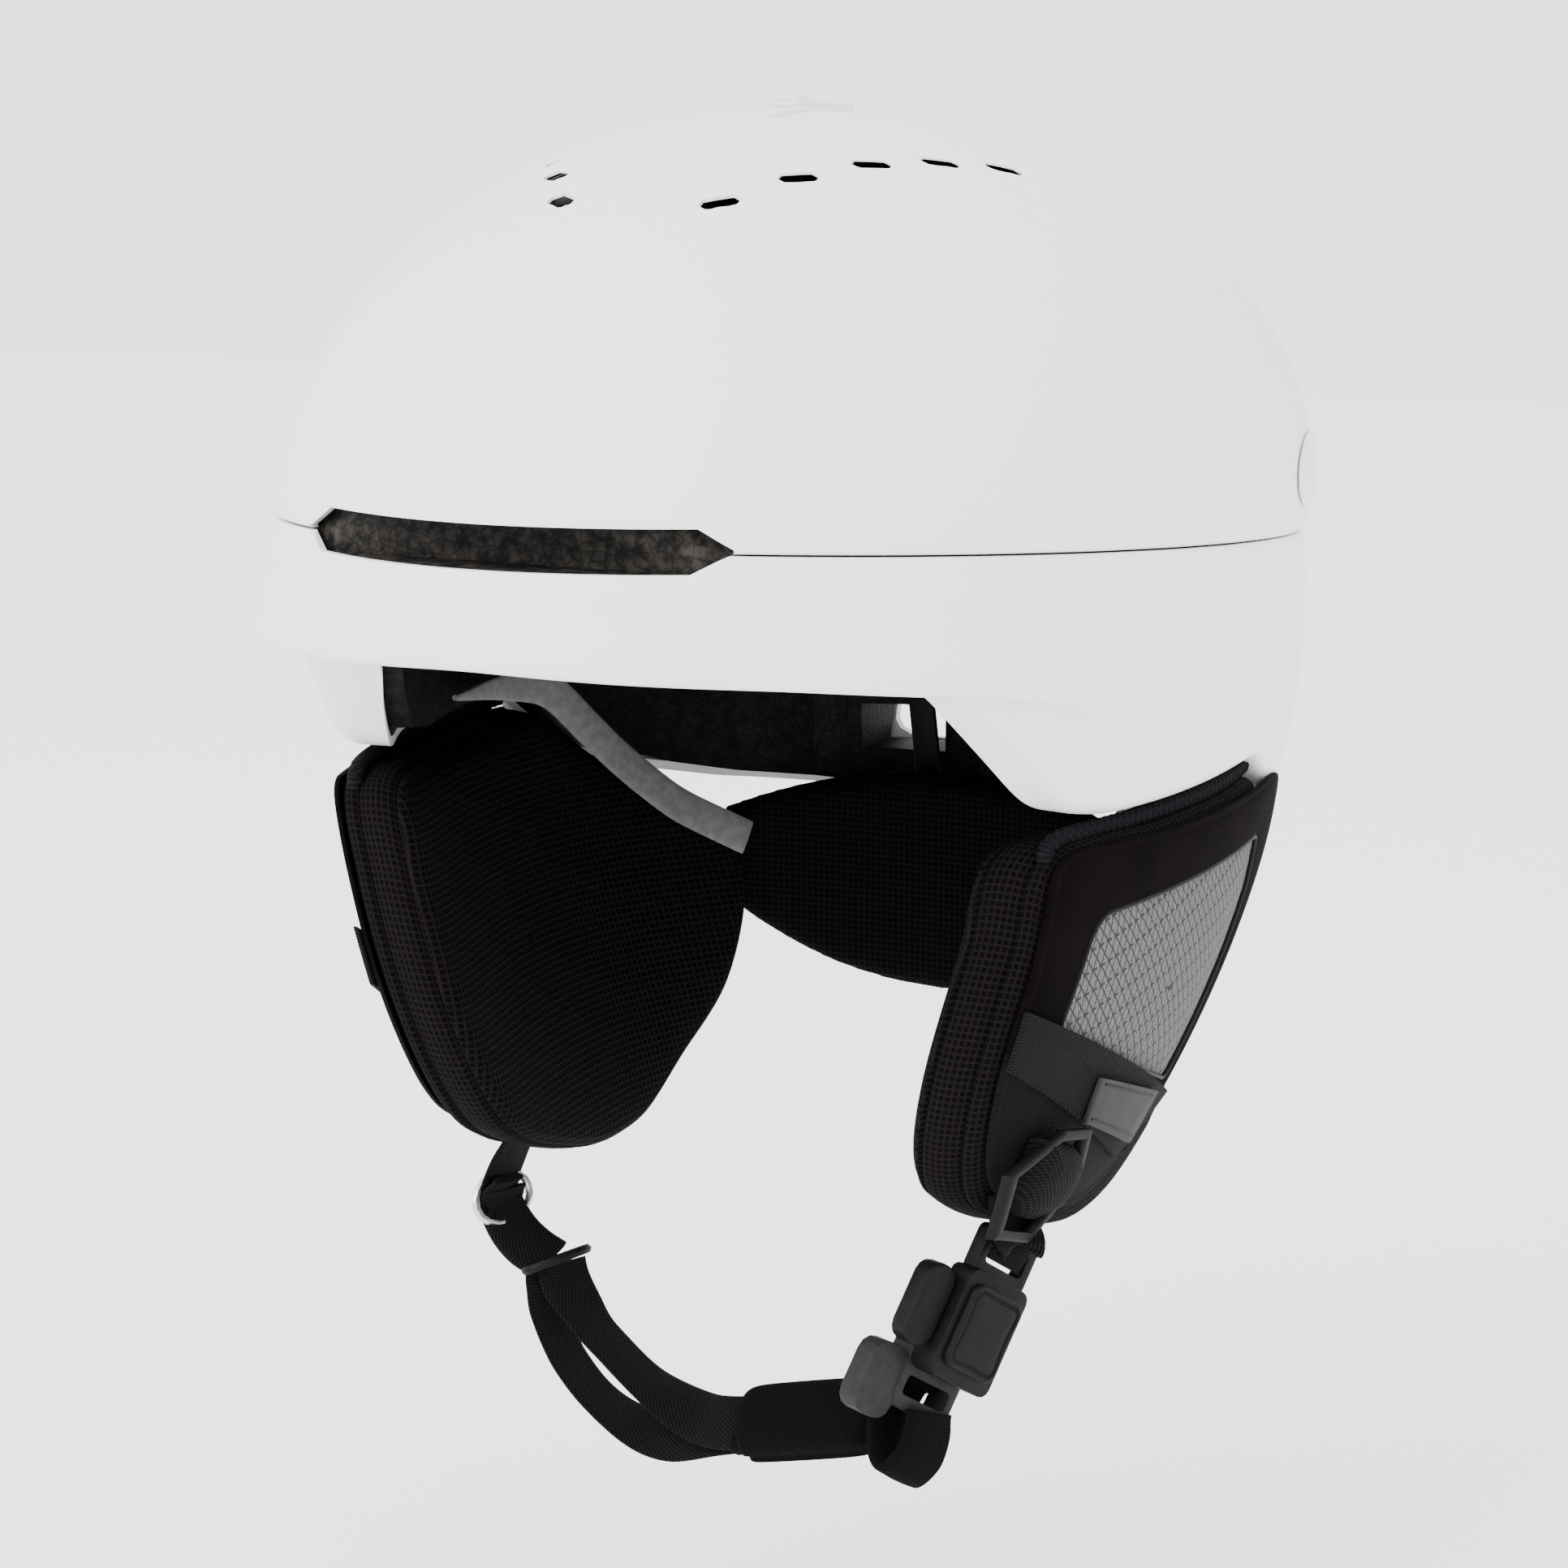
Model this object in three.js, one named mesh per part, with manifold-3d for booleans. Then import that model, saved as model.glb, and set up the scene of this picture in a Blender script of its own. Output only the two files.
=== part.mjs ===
// Ski helmet: two-piece shell, foam liner, fit system, ear pads and chin strap.
// Millimetres. +X is the wearer's left, -Y the front and +Z up. The origin is on the
// middle plane, level with the lower corners of the brim, where the head is held.
import * as THREE from "three";
import { mergeVertices } from "three/addons/utils/BufferGeometryUtils.js";
import Module from "manifold-3d";

const wasm = await Module();
wasm.setup();

// ---- driving dimensions ----
const SHELL_FRONT = 138; // seam line, from the origin forward
const SHELL_BACK = 135;
const SHELL_HALF_WIDTH = 112;
const SHELL_RISE = 92; // from the seam to the crown
const SEAM_HEIGHT = 28;
const SEAM_TILT = 0.058; // the seam falls towards the back
const EGG = 11.9; // how far back the widest place lies
const FULLNESS = { front: 0.405, side: -0.169, back: 0.127 };
const SHELL_THICK = 2.4;
const GAP = 0.4; // between touching pieces
const FOAM_INSET = SHELL_THICK + 0.6;
const CAVITY_INSET = 26;
const BRIM_FLARE = 7;
const LEDGE = 4.5; // step from the brim's lip in to the temple drop

// Edge heights and shapes round the shell, by angle in degrees from the front.
const LIP_HEIGHT = [[0, 12], [30, 9], [48, 5], [57, 1], [68, -3], [84, -8], [180, -20]];
const EDGE_HEIGHT = [
  [0, 11], [30, 8], [48, 4], [52, -3], [57, -14], [62, -25], [68, -27.3], [76, -26.5],
  [84, -25.5], [93, -24], [98, -24.5], [103, -33], [110, -44], [120, -50], [135, -55], [180, -62],
];
const EDGE_INSET = [
  [0, 6], [48, 6], [52, 6], [57, 7.5], [62, 8.5], [68, 8.5], [76, 7.5], [85, 6.5], [94, 5.5], [103, 7.5], [180, 9],
];
const RIM_REACH = [
  [0, 12], [48, 12], [52, 13], [57, 16], [62, 19.5], [68, 17.5], [76, 14], [94, 11.5], [180, 15],
];
const LEDGE_SHARE = [[0, 1], [54, 1], [68, 0], [180, 0]];
const SIDE_CURVE = 2.3; // how late the side turns in towards its edge
const SIDE_BULGE = 1.5;
const HALF_ANGLES = [
  0, 9, 18, 27, 37, 48, 52, 57, 62, 68, 76, 85, 94, 98, 103, 112, 124, 136, 150, 165, 180,
];
const CROWN_ROWS = 7;

// Front vent slot and the slits of the crown.
const SLOT = { half: 49.5, shoulder: 42.5, height: 4.3, level: 35.7 };
const SLIT = { half: 4.6, shoulder: 3.2, depth: 2.1, turn: 0.56 };
const SLIT_PLACES = [[19, -70], [29.3, -54.5], [38.8, -39], [48.3, -25], [57.5, -12]];

// Ear pads.
const EAR = { side: 104, lean: 32, middle: 15, front: 0.003, back: 0.003, thick: 21.5, hollow: 0.007 };
const PAD_OUTLINE = [
  [-53, -33.5], [-20, -31.5], [10, -30.5], [26, -29.5], [34, -33], [46, -42.5], [58, -51.5], [67, -60],
  [70, -73], [67, -89], [59, -106], [46, -119], [28, -130.5], [10, -133], [-4, -131], [-18, -127],
  [-32, -121.5], [-44, -113.5], [-52, -100], [-56.5, -80], [-56.5, -55],
];
const COVER_OUTLINE = [
  [-53, -33.5], [-20, -32.5], [15, -31.5], [47, -31.5], [50, -40], [48, -50], [42, -63], [34, -80], [25, -98],
  [16, -112], [6, -121.5], [-6, -125], [-20, -122.5], [-34, -117.5], [-45, -110.5], [-52, -99],
  [-56.5, -80], [-56.5, -55],
];
const WINDOW = [
  [-39.5, -48], [31, -43], [33, -56], [29, -72], [24, -86], [18, -100], [-40, -79], [-44, -75.5],
  [-42, -52],
];
const BAND = [[-57.6, -66.5], [20, -103.5], [2, -115.5], [-57.6, -80]];
const LABEL = [[-27, -88], [6, -99.5], [2, -111.5], [-26.5, -99]];
const DIVIDER = [[-37, -100.5], [-28.5, -102.5], [-24.5, -114], [-33.5, -126], [-46, -121.5], [-49, -105.5]];
const TUCKED_WEB = [[-42, -99.5], [-28, -106], [-24, -117], [-30, -121.5], [-42, -116]];

// Chin strap and buckle.
const WEB_WIDTH = 13;
const WEB_THICK = 1.5;
const BUCKLE_CENTRE = new THREE.Vector3(64, -37, -147);
const BUCKLE_DOWN = new THREE.Vector3(-0.21, -0.49, -0.83);
const BUCKLE_OUT = new THREE.Vector3(0.9, -0.4, 0.01);

// Rear fit system.
const DIAL = { z: -87, y: 107, radius: 17, depth: 8.5, ribs: 12 };
const CRADLE = { y: 96, bow: 260, half: 45, thick: 2.6 };

// ---- materials ----
const plastic = (colour, roughness) =>
  new THREE.MeshStandardMaterial({ color: colour, roughness, metalness: 0 });
const WHITE = plastic(0xf2f2f3, 0.55);
const TONAL = plastic(0xe4e5e7, 0.4);
const FOAM = plastic(0x17181a, 0.9);
const KNIT = plastic(0x1d1817, 0.95);
const COVER = plastic(0x1c1614, 0.9);
const MESH = plastic(0x9b9c9e, 0.8);
const WEBBING = plastic(0x1d1e20, 0.85);
const LABEL_RUBBER = plastic(0x6d6e71, 0.6);
const GREY = plastic(0x5c5f63, 0.6);
const DARK = plastic(0x2c2e31, 0.55);
const STEEL = new THREE.MeshStandardMaterial({ color: 0xb9bcc0, roughness: 0.3, metalness: 1 });

// ---- small helpers ----
const rad = THREE.MathUtils.degToRad;
const mix = (a, b, t) => a + (b - a) * t;

// Straight-line interpolation in a table of [x, value].
function lookUp(table, x) {
  const after = table.findIndex(([at]) => at >= x);
  if (after <= 0) return table[Math.max(after, 0)][1];
  const [x0, y0] = table[after - 1];
  const [x1, y1] = table[after];
  return mix(y0, y1, (x - x0) / (x1 - x0));
}

// Geometry from points and triangles, without collapsed faces, facing out.
function closedGeometry(points, triangles) {
  const raw = new THREE.BufferGeometry();
  raw.setAttribute("position", new THREE.Float32BufferAttribute(points.flat(), 3));
  raw.setIndex(triangles);
  const merged = mergeVertices(raw, 1e-3);
  const index = merged.index.array;
  const place = merged.attributes.position;
  const kept = [];
  let volume = 0;
  for (let i = 0; i < index.length; i += 3) {
    const [a, b, c] = [index[i], index[i + 1], index[i + 2]];
    if (a === b || b === c || a === c) continue;
    kept.push(a, b, c);
    const [pa, pb, pc] = [a, b, c].map((v) => new THREE.Vector3().fromBufferAttribute(place, v));
    volume += pa.dot(pb.cross(pc));
  }
  if (volume < 0) kept.reverse();
  merged.setIndex(kept);
  merged.computeVertexNormals();
  return merged;
}

// Solid from a stack of rings with equal point counts. A closed stack joins its last ring to its
// first; an open one is closed by a fan on each end.
function loft(rings, closed = false) {
  const count = rings[0].length;
  const points = rings.flat();
  const triangles = [];
  const bands = closed ? rings.length : rings.length - 1;
  for (let band = 0; band < bands; band++) {
    const next = (band + 1) % rings.length;
    for (let i = 0; i < count; i++) {
      const j = (i + 1) % count;
      const [a, b] = [band * count + i, band * count + j];
      const [c, d] = [next * count + i, next * count + j];
      triangles.push(a, b, d, a, d, c);
    }
  }
  if (!closed) {
    for (const [at, turned] of [[0, true], [rings.length - 1, false]]) {
      const middle = [0, 1, 2].map((k) => rings[at].reduce((sum, p) => sum + p[k], 0) / count);
      points.push(middle);
      const centre = points.length - 1;
      for (let i = 0; i < count; i++) {
        const [a, b] = [at * count + i, at * count + ((i + 1) % count)];
        triangles.push(...(turned ? [b, a, centre] : [a, b, centre]));
      }
    }
  }
  return closedGeometry(points, triangles);
}

function solidOf(geometry) {
  const bare = geometry.clone();
  bare.deleteAttribute("normal");
  bare.deleteAttribute("uv");
  const merged = mergeVertices(bare, 1e-3);
  const mesh = new wasm.Mesh({
    numProp: 3,
    vertProperties: Float32Array.from(merged.attributes.position.array),
    triVerts: Uint32Array.from(merged.index.array),
  });
  return new wasm.Manifold(mesh);
}

function geometryOf(solid) {
  const mesh = solid.getMesh();
  const geometry = new THREE.BufferGeometry();
  geometry.setAttribute("position", new THREE.Float32BufferAttribute(mesh.vertProperties, 3));
  geometry.setIndex(Array.from(mesh.triVerts));
  geometry.computeVertexNormals();
  return geometry;
}

const cut = (base, tools) =>
  geometryOf(tools.reduce((solid, tool) => solid.subtract(solidOf(tool)), solidOf(base)));
const join = (parts) =>
  geometryOf(parts.slice(1).reduce((solid, part) => solid.add(solidOf(part)), solidOf(parts[0])));

// Box between two corners.
function box(low, high) {
  const size = high.map((v, i) => v - low[i]);
  const geometry = new THREE.BoxGeometry(...size);
  return geometry.translate(...low.map((v, i) => (v + high[i]) / 2));
}

// Flat outline in the local XY plane, raised from z0 to z1.
function plate(outline, z0, z1) {
  const shape = new THREE.Shape(outline.map(([x, y]) => new THREE.Vector2(x, y)));
  const geometry = new THREE.ExtrudeGeometry(shape, { depth: z1 - z0, bevelEnabled: false });
  return geometry.translate(0, 0, z0);
}

// Rectangle outline with rounded corners.
function roundedOutline(x0, y0, x1, y1, radius, steps = 3) {
  const corners = [[x1, y0, -90], [x1, y1, 0], [x0, y1, 90], [x0, y0, 180]];
  const middle = [(x0 + x1) / 2, (y0 + y1) / 2];
  return corners.flatMap(([x, y, start]) => {
    const cx = x + (x > middle[0] ? -radius : radius);
    const cy = y + (y > middle[1] ? -radius : radius);
    return Array.from({ length: steps + 1 }, (_, i) => {
      const angle = rad(start + (90 * i) / steps);
      return [cx + radius * Math.cos(angle), cy + radius * Math.sin(angle)];
    });
  });
}

const mirrored = (geometry) => {
  const copy = geometry.clone().scale(-1, 1, 1);
  copy.setIndex(Array.from(copy.index.array).reverse());
  copy.computeVertexNormals();
  return copy;
};

// ---- the shell's surface ----
function fullness(share, start) {
  const height = start + (1 - start) * share;
  return Math.sqrt(Math.max(0, 1 - height * height)) / Math.sqrt(1 - start * start);
}

// Point on the dome: angle from the front in degrees, share of the rise, distance under the surface.
function domePoint(degrees, share, inset = 0) {
  const angle = rad(degrees);
  const front = (SHELL_FRONT - inset) * fullness(share, FULLNESS.front);
  const back = (SHELL_BACK - inset) * fullness(share, FULLNESS.back);
  const side = fullness(share, FULLNESS.side);
  const middle = (back - front) / 2;
  const x = (SHELL_HALF_WIDTH - inset) * side * Math.sin(angle);
  const y = (-(front + back) / 2) * Math.cos(angle) + EGG * side * Math.sin(angle) ** 2 + middle;
  const z = SEAM_HEIGHT + (SHELL_RISE - inset) * share - SEAM_TILT * y * (1 - share);
  return [x, y, z];
}

const ANGLES = [...HALF_ANGLES, ...HALF_ANGLES.slice(1, -1).reverse().map((a) => 360 - a)];
const SHARES = Array.from({ length: CROWN_ROWS + 1 }, (_, k) => Math.sin((Math.PI / 2) * (k / CROWN_ROWS)));
const domeRing = (share, inset, lift = 0) =>
  ANGLES.map((a) => {
    const [x, y, z] = domePoint(a, share, inset);
    return [x, y, z + lift];
  });

// Point of the dome above a place (x, y) near the crown.
function crownPoint(x, y, inset) {
  let angle = Math.atan2(x, -y);
  let share = 0.9;
  const reach = Math.hypot(x, y);
  for (let round = 0; round < 8; round++) {
    let [low, high] = [0, 1];
    for (let halving = 0; halving < 24; halving++) {
      share = (low + high) / 2;
      const [px, py] = domePoint(THREE.MathUtils.radToDeg(angle), share, inset);
      if (Math.hypot(px, py) > reach) low = share;
      else high = share;
    }
    const [px, py] = domePoint(THREE.MathUtils.radToDeg(angle), share, inset);
    angle += Math.atan2(x, -y) - Math.atan2(px, -py);
  }
  return [x, y, domePoint(THREE.MathUtils.radToDeg(angle), share, inset)[2]];
}

// Point of the dome's side at (y, z), for the wearer's left.
function sidePoint(y, z, inset) {
  const share = (z - SEAM_HEIGHT + SEAM_TILT * y) / (SHELL_RISE - inset + SEAM_TILT * y);
  let [low, high] = [60, 150];
  for (let halving = 0; halving < 24; halving++) {
    const middle = (low + high) / 2;
    if (domePoint(middle, share, inset)[1] < y) low = middle;
    else high = middle;
  }
  return [domePoint(low, share, inset)[0], y, z];
}

// Section of the lower shell at an angle: [distance out from the seam line, height], from the
// seam down over the brim or the side to the edge and its return.
const SIDE_STEPS = [0, 0.3, 0.52, 0.64, 0.74, 0.86, 0.97, 1];
function lowerSection(degrees) {
  const angle = degrees > 180 ? 360 - degrees : degrees;
  const seam = domePoint(angle, 0)[2] - GAP / 2;
  const lip = lookUp(LIP_HEIGHT, angle);
  const edge = lookUp(EDGE_HEIGHT, angle);
  const inset = lookUp(EDGE_INSET, angle);
  const share = lookUp(LEDGE_SHARE, angle);
  const reach = lookUp(RIM_REACH, angle);
  const step = Math.min(LEDGE, inset - 2);
  const withLedge = [
    [0, seam],
    [BRIM_FLARE * 0.55, mix(seam, lip, 0.5)],
    [BRIM_FLARE, lip + 2.6],
    [BRIM_FLARE - 1.6, lip],
    [-step, lip - 0.4],
    [-mix(step, inset, 0.15), mix(lip - 0.4, edge, 0.5)],
    [-inset, edge + 0.3],
    [-reach, edge],
  ];
  const plain = SIDE_STEPS.map((s) => {
    const bulge = SIDE_BULGE * Math.sin(Math.PI * s);
    return [bulge - inset * s ** SIDE_CURVE, mix(seam, edge, s)];
  });
  plain[7] = [-reach, edge];
  plain[6][1] = edge + 0.6;
  return withLedge.map(([out, z], i) => [mix(plain[i][0], out, share), mix(plain[i][1], z, share)]);
}

// The same section moved inward by a thickness, square to itself.
function insetSection(section, thickness) {
  return section.map(([out, z], i) => {
    const before = section[Math.max(i - 1, 0)];
    const after = section[Math.min(i + 1, section.length - 1)];
    const run = Math.hypot(after[0] - before[0], after[1] - before[1]);
    const normal = [-(after[1] - before[1]) / run, (after[0] - before[0]) / run];
    const square = i === 0 ? [1, 0] : normal;
    return [out - square[0] * thickness, z - square[1] * thickness];
  });
}

// Places a section's [out, z] at an angle round the seam line.
function onSeam(degrees, [out, z]) {
  const [x, y] = domePoint(degrees, 0);
  const [ax, ay] = domePoint(degrees - 0.5, 0);
  const [bx, by] = domePoint(degrees + 0.5, 0);
  const run = Math.hypot(bx - ax, by - ay);
  return [x + ((by - ay) / run) * out, y - ((bx - ax) / run) * out, z];
}

const sectionRings = (sections) =>
  sections[0].map((_, row) => ANGLES.map((a, i) => onSeam(a, sections[i][row])));

// ---- shells and liner ----
const slotOutline = (grow = 0) => {
  const { half, shoulder, height, level } = SLOT;
  const tall = height + grow;
  return [[-half, level], [-shoulder, level - tall], [shoulder, level - tall],
    [half, level], [shoulder, level + tall], [-shoulder, level + tall]];
};
// A prism through the front, its outline given in X and Z.
const throughFront = (outline, y0, y1) => plate(outline, -y1, -y0).rotateX(Math.PI / 2);

function slitTool([x, y], grow = 0) {
  const { half, shoulder, depth } = SLIT;
  const outline = [[-half, 0], [-shoulder, -depth], [shoulder, -depth], [half, 0], [shoulder, depth],
    [-shoulder, depth]].map(([u, v]) => [u + Math.sign(u) * grow, v + Math.sign(v) * grow]);
  const turn = Math.sign(x) * SLIT.turn + 0.2 * Math.atan2(x, -y);
  return plate(outline, 60, 135).rotateZ(turn).translate(x, y, 0);
}
const slitPairs = SLIT_PLACES.flatMap(([x, y]) => [[x, y], [-x, y]]);

const STEM_SLOT = () => box([-4, -17, 100], [4, 14, 130]);

function upperShell() {
  const outer = SHARES.map((share) => domeRing(share, 0, share === 0 ? GAP / 2 : 0)).reverse();
  const inner = SHARES.map((share) => domeRing(share, SHELL_THICK, share === 0 ? GAP / 2 : 0));
  return cut(loft([...outer, ...inner]), [
    throughFront(slotOutline(), -160, -100),
    STEM_SLOT(),
    ...slitPairs.map((place) => slitTool(place)),
  ]);
}

const rearVents = () => [-1, 1].map((side) => box([side * 20 - 11, 80, -46], [side * 20 + 11, 150, -34]));

function lowerShell() {
  const outer = ANGLES.map(lowerSection);
  const inner = outer.map((section) => insetSection(section, SHELL_THICK).reverse());
  const wall = loft([...sectionRings(outer), ...sectionRings(inner)], true);
  return cut(wall, [throughFront(slotOutline(), -160, -100), ...rearVents()]);
}

function foamLiner() {
  const outer = SHARES.map((share) => domeRing(share, FOAM_INSET)).reverse();
  const sides = ANGLES.map((a) => {
    const section = insetSection(lowerSection(a), FOAM_INSET + 1.3).slice(1, 7);
    const bottom = section[5][1] + 0.6;
    return [...section, [-CAVITY_INSET, bottom], [-CAVITY_INSET, mix(bottom, SEAM_HEIGHT, 0.5)]];
  });
  const inner = SHARES.map((share) => domeRing(share, CAVITY_INSET));
  const block = loft([...outer, ...sectionRings(sides), ...inner]);
  const channel = throughFront(slotOutline(0.3), -160, -124);
  const pocket = crownPatch(CROWN_PLATE.grow(3.5), 1.5, 7);
  const stem = box([-5, -19, 100], [5, 16, 125]);
  return cut(block, [channel, pocket, stem, ...rearVents(),
    ...slitPairs.map((place) => slitTool(place, 0.8))]);
}

// Thin low-friction layer that lets the foam slide over the head.
const slipLiner = () => {
  const shares = SHARES.filter((_, k) => k % 2 === 1 || k === 0);
  const inner = shares.map((share) => domeRing(share, CAVITY_INSET + 1.8));
  const outer = shares.map((share) => domeRing(share, CAVITY_INSET + 0.6)).reverse();
  return loft([...outer, ...inner]);
};

// ---- crown plates ----
// Trapezoid plate in plan that covers the slits, with its rear bridge.
const CROWN_PLATE = {
  grow: (by) => ({ y0: -79 - by - (by ? 8 : 0), y1: 14 + by, near: 30 + by, far: 66 + by }),
};
function crownPatch({ y0, y1, near, far }, top, bottom, columns = 6, rows = 6) {
  const rings = [];
  for (let i = 0; i <= rows; i++) {
    const y = mix(y0, y1, i / rows);
    const half = mix(near, far, Math.min(1, (y - y0) / (-4 - y0)));
    const across = Array.from({ length: columns + 1 }, (_, j) => mix(-half, half, j / columns));
    const over = across.map((x) => crownPoint(x, y, top));
    const under = across.map((x) => crownPoint(x, y, bottom)).reverse();
    rings.push([...over, ...under]);
  }
  return loft(rings);
}

function crownPads() {
  const shares = SHARES.slice(5);
  const outer = shares.map((share) => domeRing(share, CAVITY_INSET + 4.4)).reverse();
  const inner = shares.map((share) => domeRing(share, CAVITY_INSET + 10.5));
  return loft([...outer, ...inner]);
}

function ventPieces() {
  const strip = { y0: -22, y1: 27, near: 7, far: 7 };
  const track = cut(crownPatch(strip, -1, -0.35, 2, 6), [STEM_SLOT()]);
  const body = crownPatch({ y0: -5, y1: 26, near: 4, far: 4 }, -2.1, -1.3, 2, 4);
  const stem = box([-3, -2.5, 117], [3, 8.5, 121.4]);
  const ribs = [-1.5, 22].map((y) => {
    const top = crownPoint(0, y, 0)[2];
    return plate(roundedOutline(-3.4, y - 2.4, 3.4, y + 2.4, 1.2), top + 1.6, top + 3);
  });
  return { track, slider: join([body, stem, ...ribs]) };
}

// ---- bands that follow the seam line inside ----
// Upright strip between two angles, at two insets and two heights.
function seamStrip(from, to, insets, heights, steps) {
  const rings = Array.from({ length: steps + 1 }, (_, i) => {
    const angle = mix(from, to, i / steps);
    const [deep, shallow] = [insets[1], insets[0]];
    const tilt = domePoint(angle, 0)[2] - SEAM_HEIGHT;
    return [[-shallow, heights[0]], [-deep, heights[0]], [-deep, heights[1]], [-shallow, heights[1]]].map(
      ([out, z]) => onSeam(angle, [out, z + tilt]),
    );
  });
  return loft(rings);
}

// ---- ear pads ----
function earSide(y, z) {
  const lean = EAR.lean * (Math.max(0, -30 - z) / 100) ** 1.5;
  const front = EAR.front * Math.max(0, EAR.middle - y) ** 2;
  const back = EAR.back * Math.max(0, y - EAR.middle) ** 2;
  return EAR.side - lean - front - back;
}
const earOuter = (y, z) => earSide(y, z) - 0.03 * Math.max(0, y - 42) ** 2;
const earInner = (y, z) => earSide(y, z) - EAR.thick - EAR.hollow * Math.max(0, y - EAR.middle) ** 2;

// Smooth closed curve through an outline's points.
function smoothOutline(outline, count) {
  const curve = new THREE.CatmullRomCurve3(outline.map(([y, z]) => new THREE.Vector3(0, y, z)), true);
  return curve.getSpacedPoints(count).slice(0, count).map((p) => [p.y, p.z]);
}

// Splits an outline's straight edges so that a panel can follow a curved surface.
function divided(outline, longest) {
  return outline.flatMap(([y, z], i) => {
    const [y2, z2] = outline[(i + 1) % outline.length];
    const steps = Math.max(1, Math.round(Math.hypot(y2 - y, z2 - z) / longest));
    return Array.from({ length: steps }, (_, k) => [mix(y, y2, k / steps), mix(z, z2, k / steps)]);
  });
}

// Panel over an outline in Y and Z, between two surfaces x = f(y, z, share of the way to the edge).
function panel(outline, over, under, shares = [0, 0.5, 1]) {
  const middle = [0, 1].map((k) => outline.reduce((sum, p) => sum + p[k], 0) / outline.length);
  const ring = (share, surface) =>
    outline.map(([y, z]) => {
      const at = [mix(middle[0], y, share), mix(middle[1], z, share)];
      return [surface(at[0], at[1], share), ...at];
    });
  return loft([...shares.map((s) => ring(s, over)), ...[...shares].reverse().map((s) => ring(s, under))]);
}
const layer = (outline, low, high, shares) =>
  panel(outline, (y, z) => earSide(y, z) + high, (y, z) => earSide(y, z) + low, shares);

function earPad() {
  const rounded = (y, z, share) => {
    const depth = earOuter(y, z) - earInner(y, z);
    return earOuter(y, z) - depth * (0.72 + 0.28 * Math.sqrt(Math.max(0, 1 - share ** 6)));
  };
  return panel(smoothOutline(PAD_OUTLINE, 30), earOuter, rounded, [0, 0.45, 0.8, 0.94, 1]);
}

const prismAlongX = (outline) =>
  plate(outline, 40, 130).applyMatrix4(
    new THREE.Matrix4().makeBasis(
      new THREE.Vector3(0, 1, 0),
      new THREE.Vector3(0, 0, 1),
      new THREE.Vector3(1, 0, 0),
    ),
  );
const scaledOutline = (outline, grow) => {
  const middle = [0, 1].map((k) => outline.reduce((sum, p) => sum + p[k], 0) / outline.length);
  return outline.map(([y, z]) => {
    const run = Math.hypot(y - middle[0], z - middle[1]);
    return [y + ((y - middle[0]) / run) * grow, z + ((z - middle[1]) / run) * grow];
  });
};

function earPieces() {
  const cover = cut(layer(smoothOutline(COVER_OUTLINE, 28), 1.1, 2.4, [0, 0.5, 1]), [
    prismAlongX(scaledOutline(WINDOW, 0.5)),
  ]);
  const divider = cut(layer(divided(DIVIDER, 14), 6.4, 8.8, [0, 0.5, 1]), [
    prismAlongX(scaledOutline(DIVIDER, -4.4)),
  ]);
  return {
    pad: [earPad(), KNIT],
    cover: [cover, COVER],
    mesh: [layer(divided(WINDOW, 16), 1.1, 2, [0, 0.5, 1]), MESH],
    collar: [collar(), WEBBING],
    band: [layer(divided(BAND, 11), 3.1, 4.3, [0, 0.4, 0.7, 1]), WEBBING],
    label: [layer(divided(LABEL, 11), 4.8, 5.9, [0, 1]), LABEL_RUBBER],
    divider: [divider, DARK],
    tucked: [layer(divided(TUCKED_WEB, 11), 4.8, 6, [0, 1]), WEBBING],
  };
}

// Textile piping that closes the gap between the shell's edge and the cover.
function collar() {
  const path = Array.from({ length: 9 }, (_, i) => {
    const y = mix(-48, 26, i / 8);
    return { at: [earSide(y, -31) - 4.5, y, -29.1 + 0.035 * (y + 48)], out: [1, 0, 0] };
  });
  return sweep(path, 4.4, 2.4);
}

// ---- webbing ----
// Ribbon along stations { at, out }: out is the direction of its width.
function sweep(stations, width, thick) {
  const rings = stations.map(({ at, out }, i) => {
    const before = new THREE.Vector3(...stations[Math.max(i - 1, 0)].at);
    const after = new THREE.Vector3(...stations[Math.min(i + 1, stations.length - 1)].at);
    const along = after.sub(before).normalize();
    const across = new THREE.Vector3(...out).projectOnPlane(along).normalize();
    const up = new THREE.Vector3().crossVectors(along, across);
    return [[-1, -1], [1, -1], [1, 1], [-1, 1]].map(([a, b]) =>
      new THREE.Vector3(...at)
        .addScaledVector(across, (a * width) / 2)
        .addScaledVector(up, (b * thick) / 2)
        .toArray(),
    );
  });
  return loft(rings);
}

// Ribbon through hand-set knots [x, y, z, width direction...], on a smooth curve.
function ribbon(knots, steps, width = WEB_WIDTH, thick = WEB_THICK) {
  const places = new THREE.CatmullRomCurve3(knots.map((k) => new THREE.Vector3(k[0], k[1], k[2])));
  const widths = new THREE.CatmullRomCurve3(knots.map((k) => new THREE.Vector3(k[3], k[4], k[5])));
  const stations = Array.from({ length: steps + 1 }, (_, i) => ({
    at: places.getPoint(i / steps).toArray(),
    out: widths.getPoint(i / steps).toArray(),
  }));
  return sweep(stations, width, thick);
}

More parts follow.
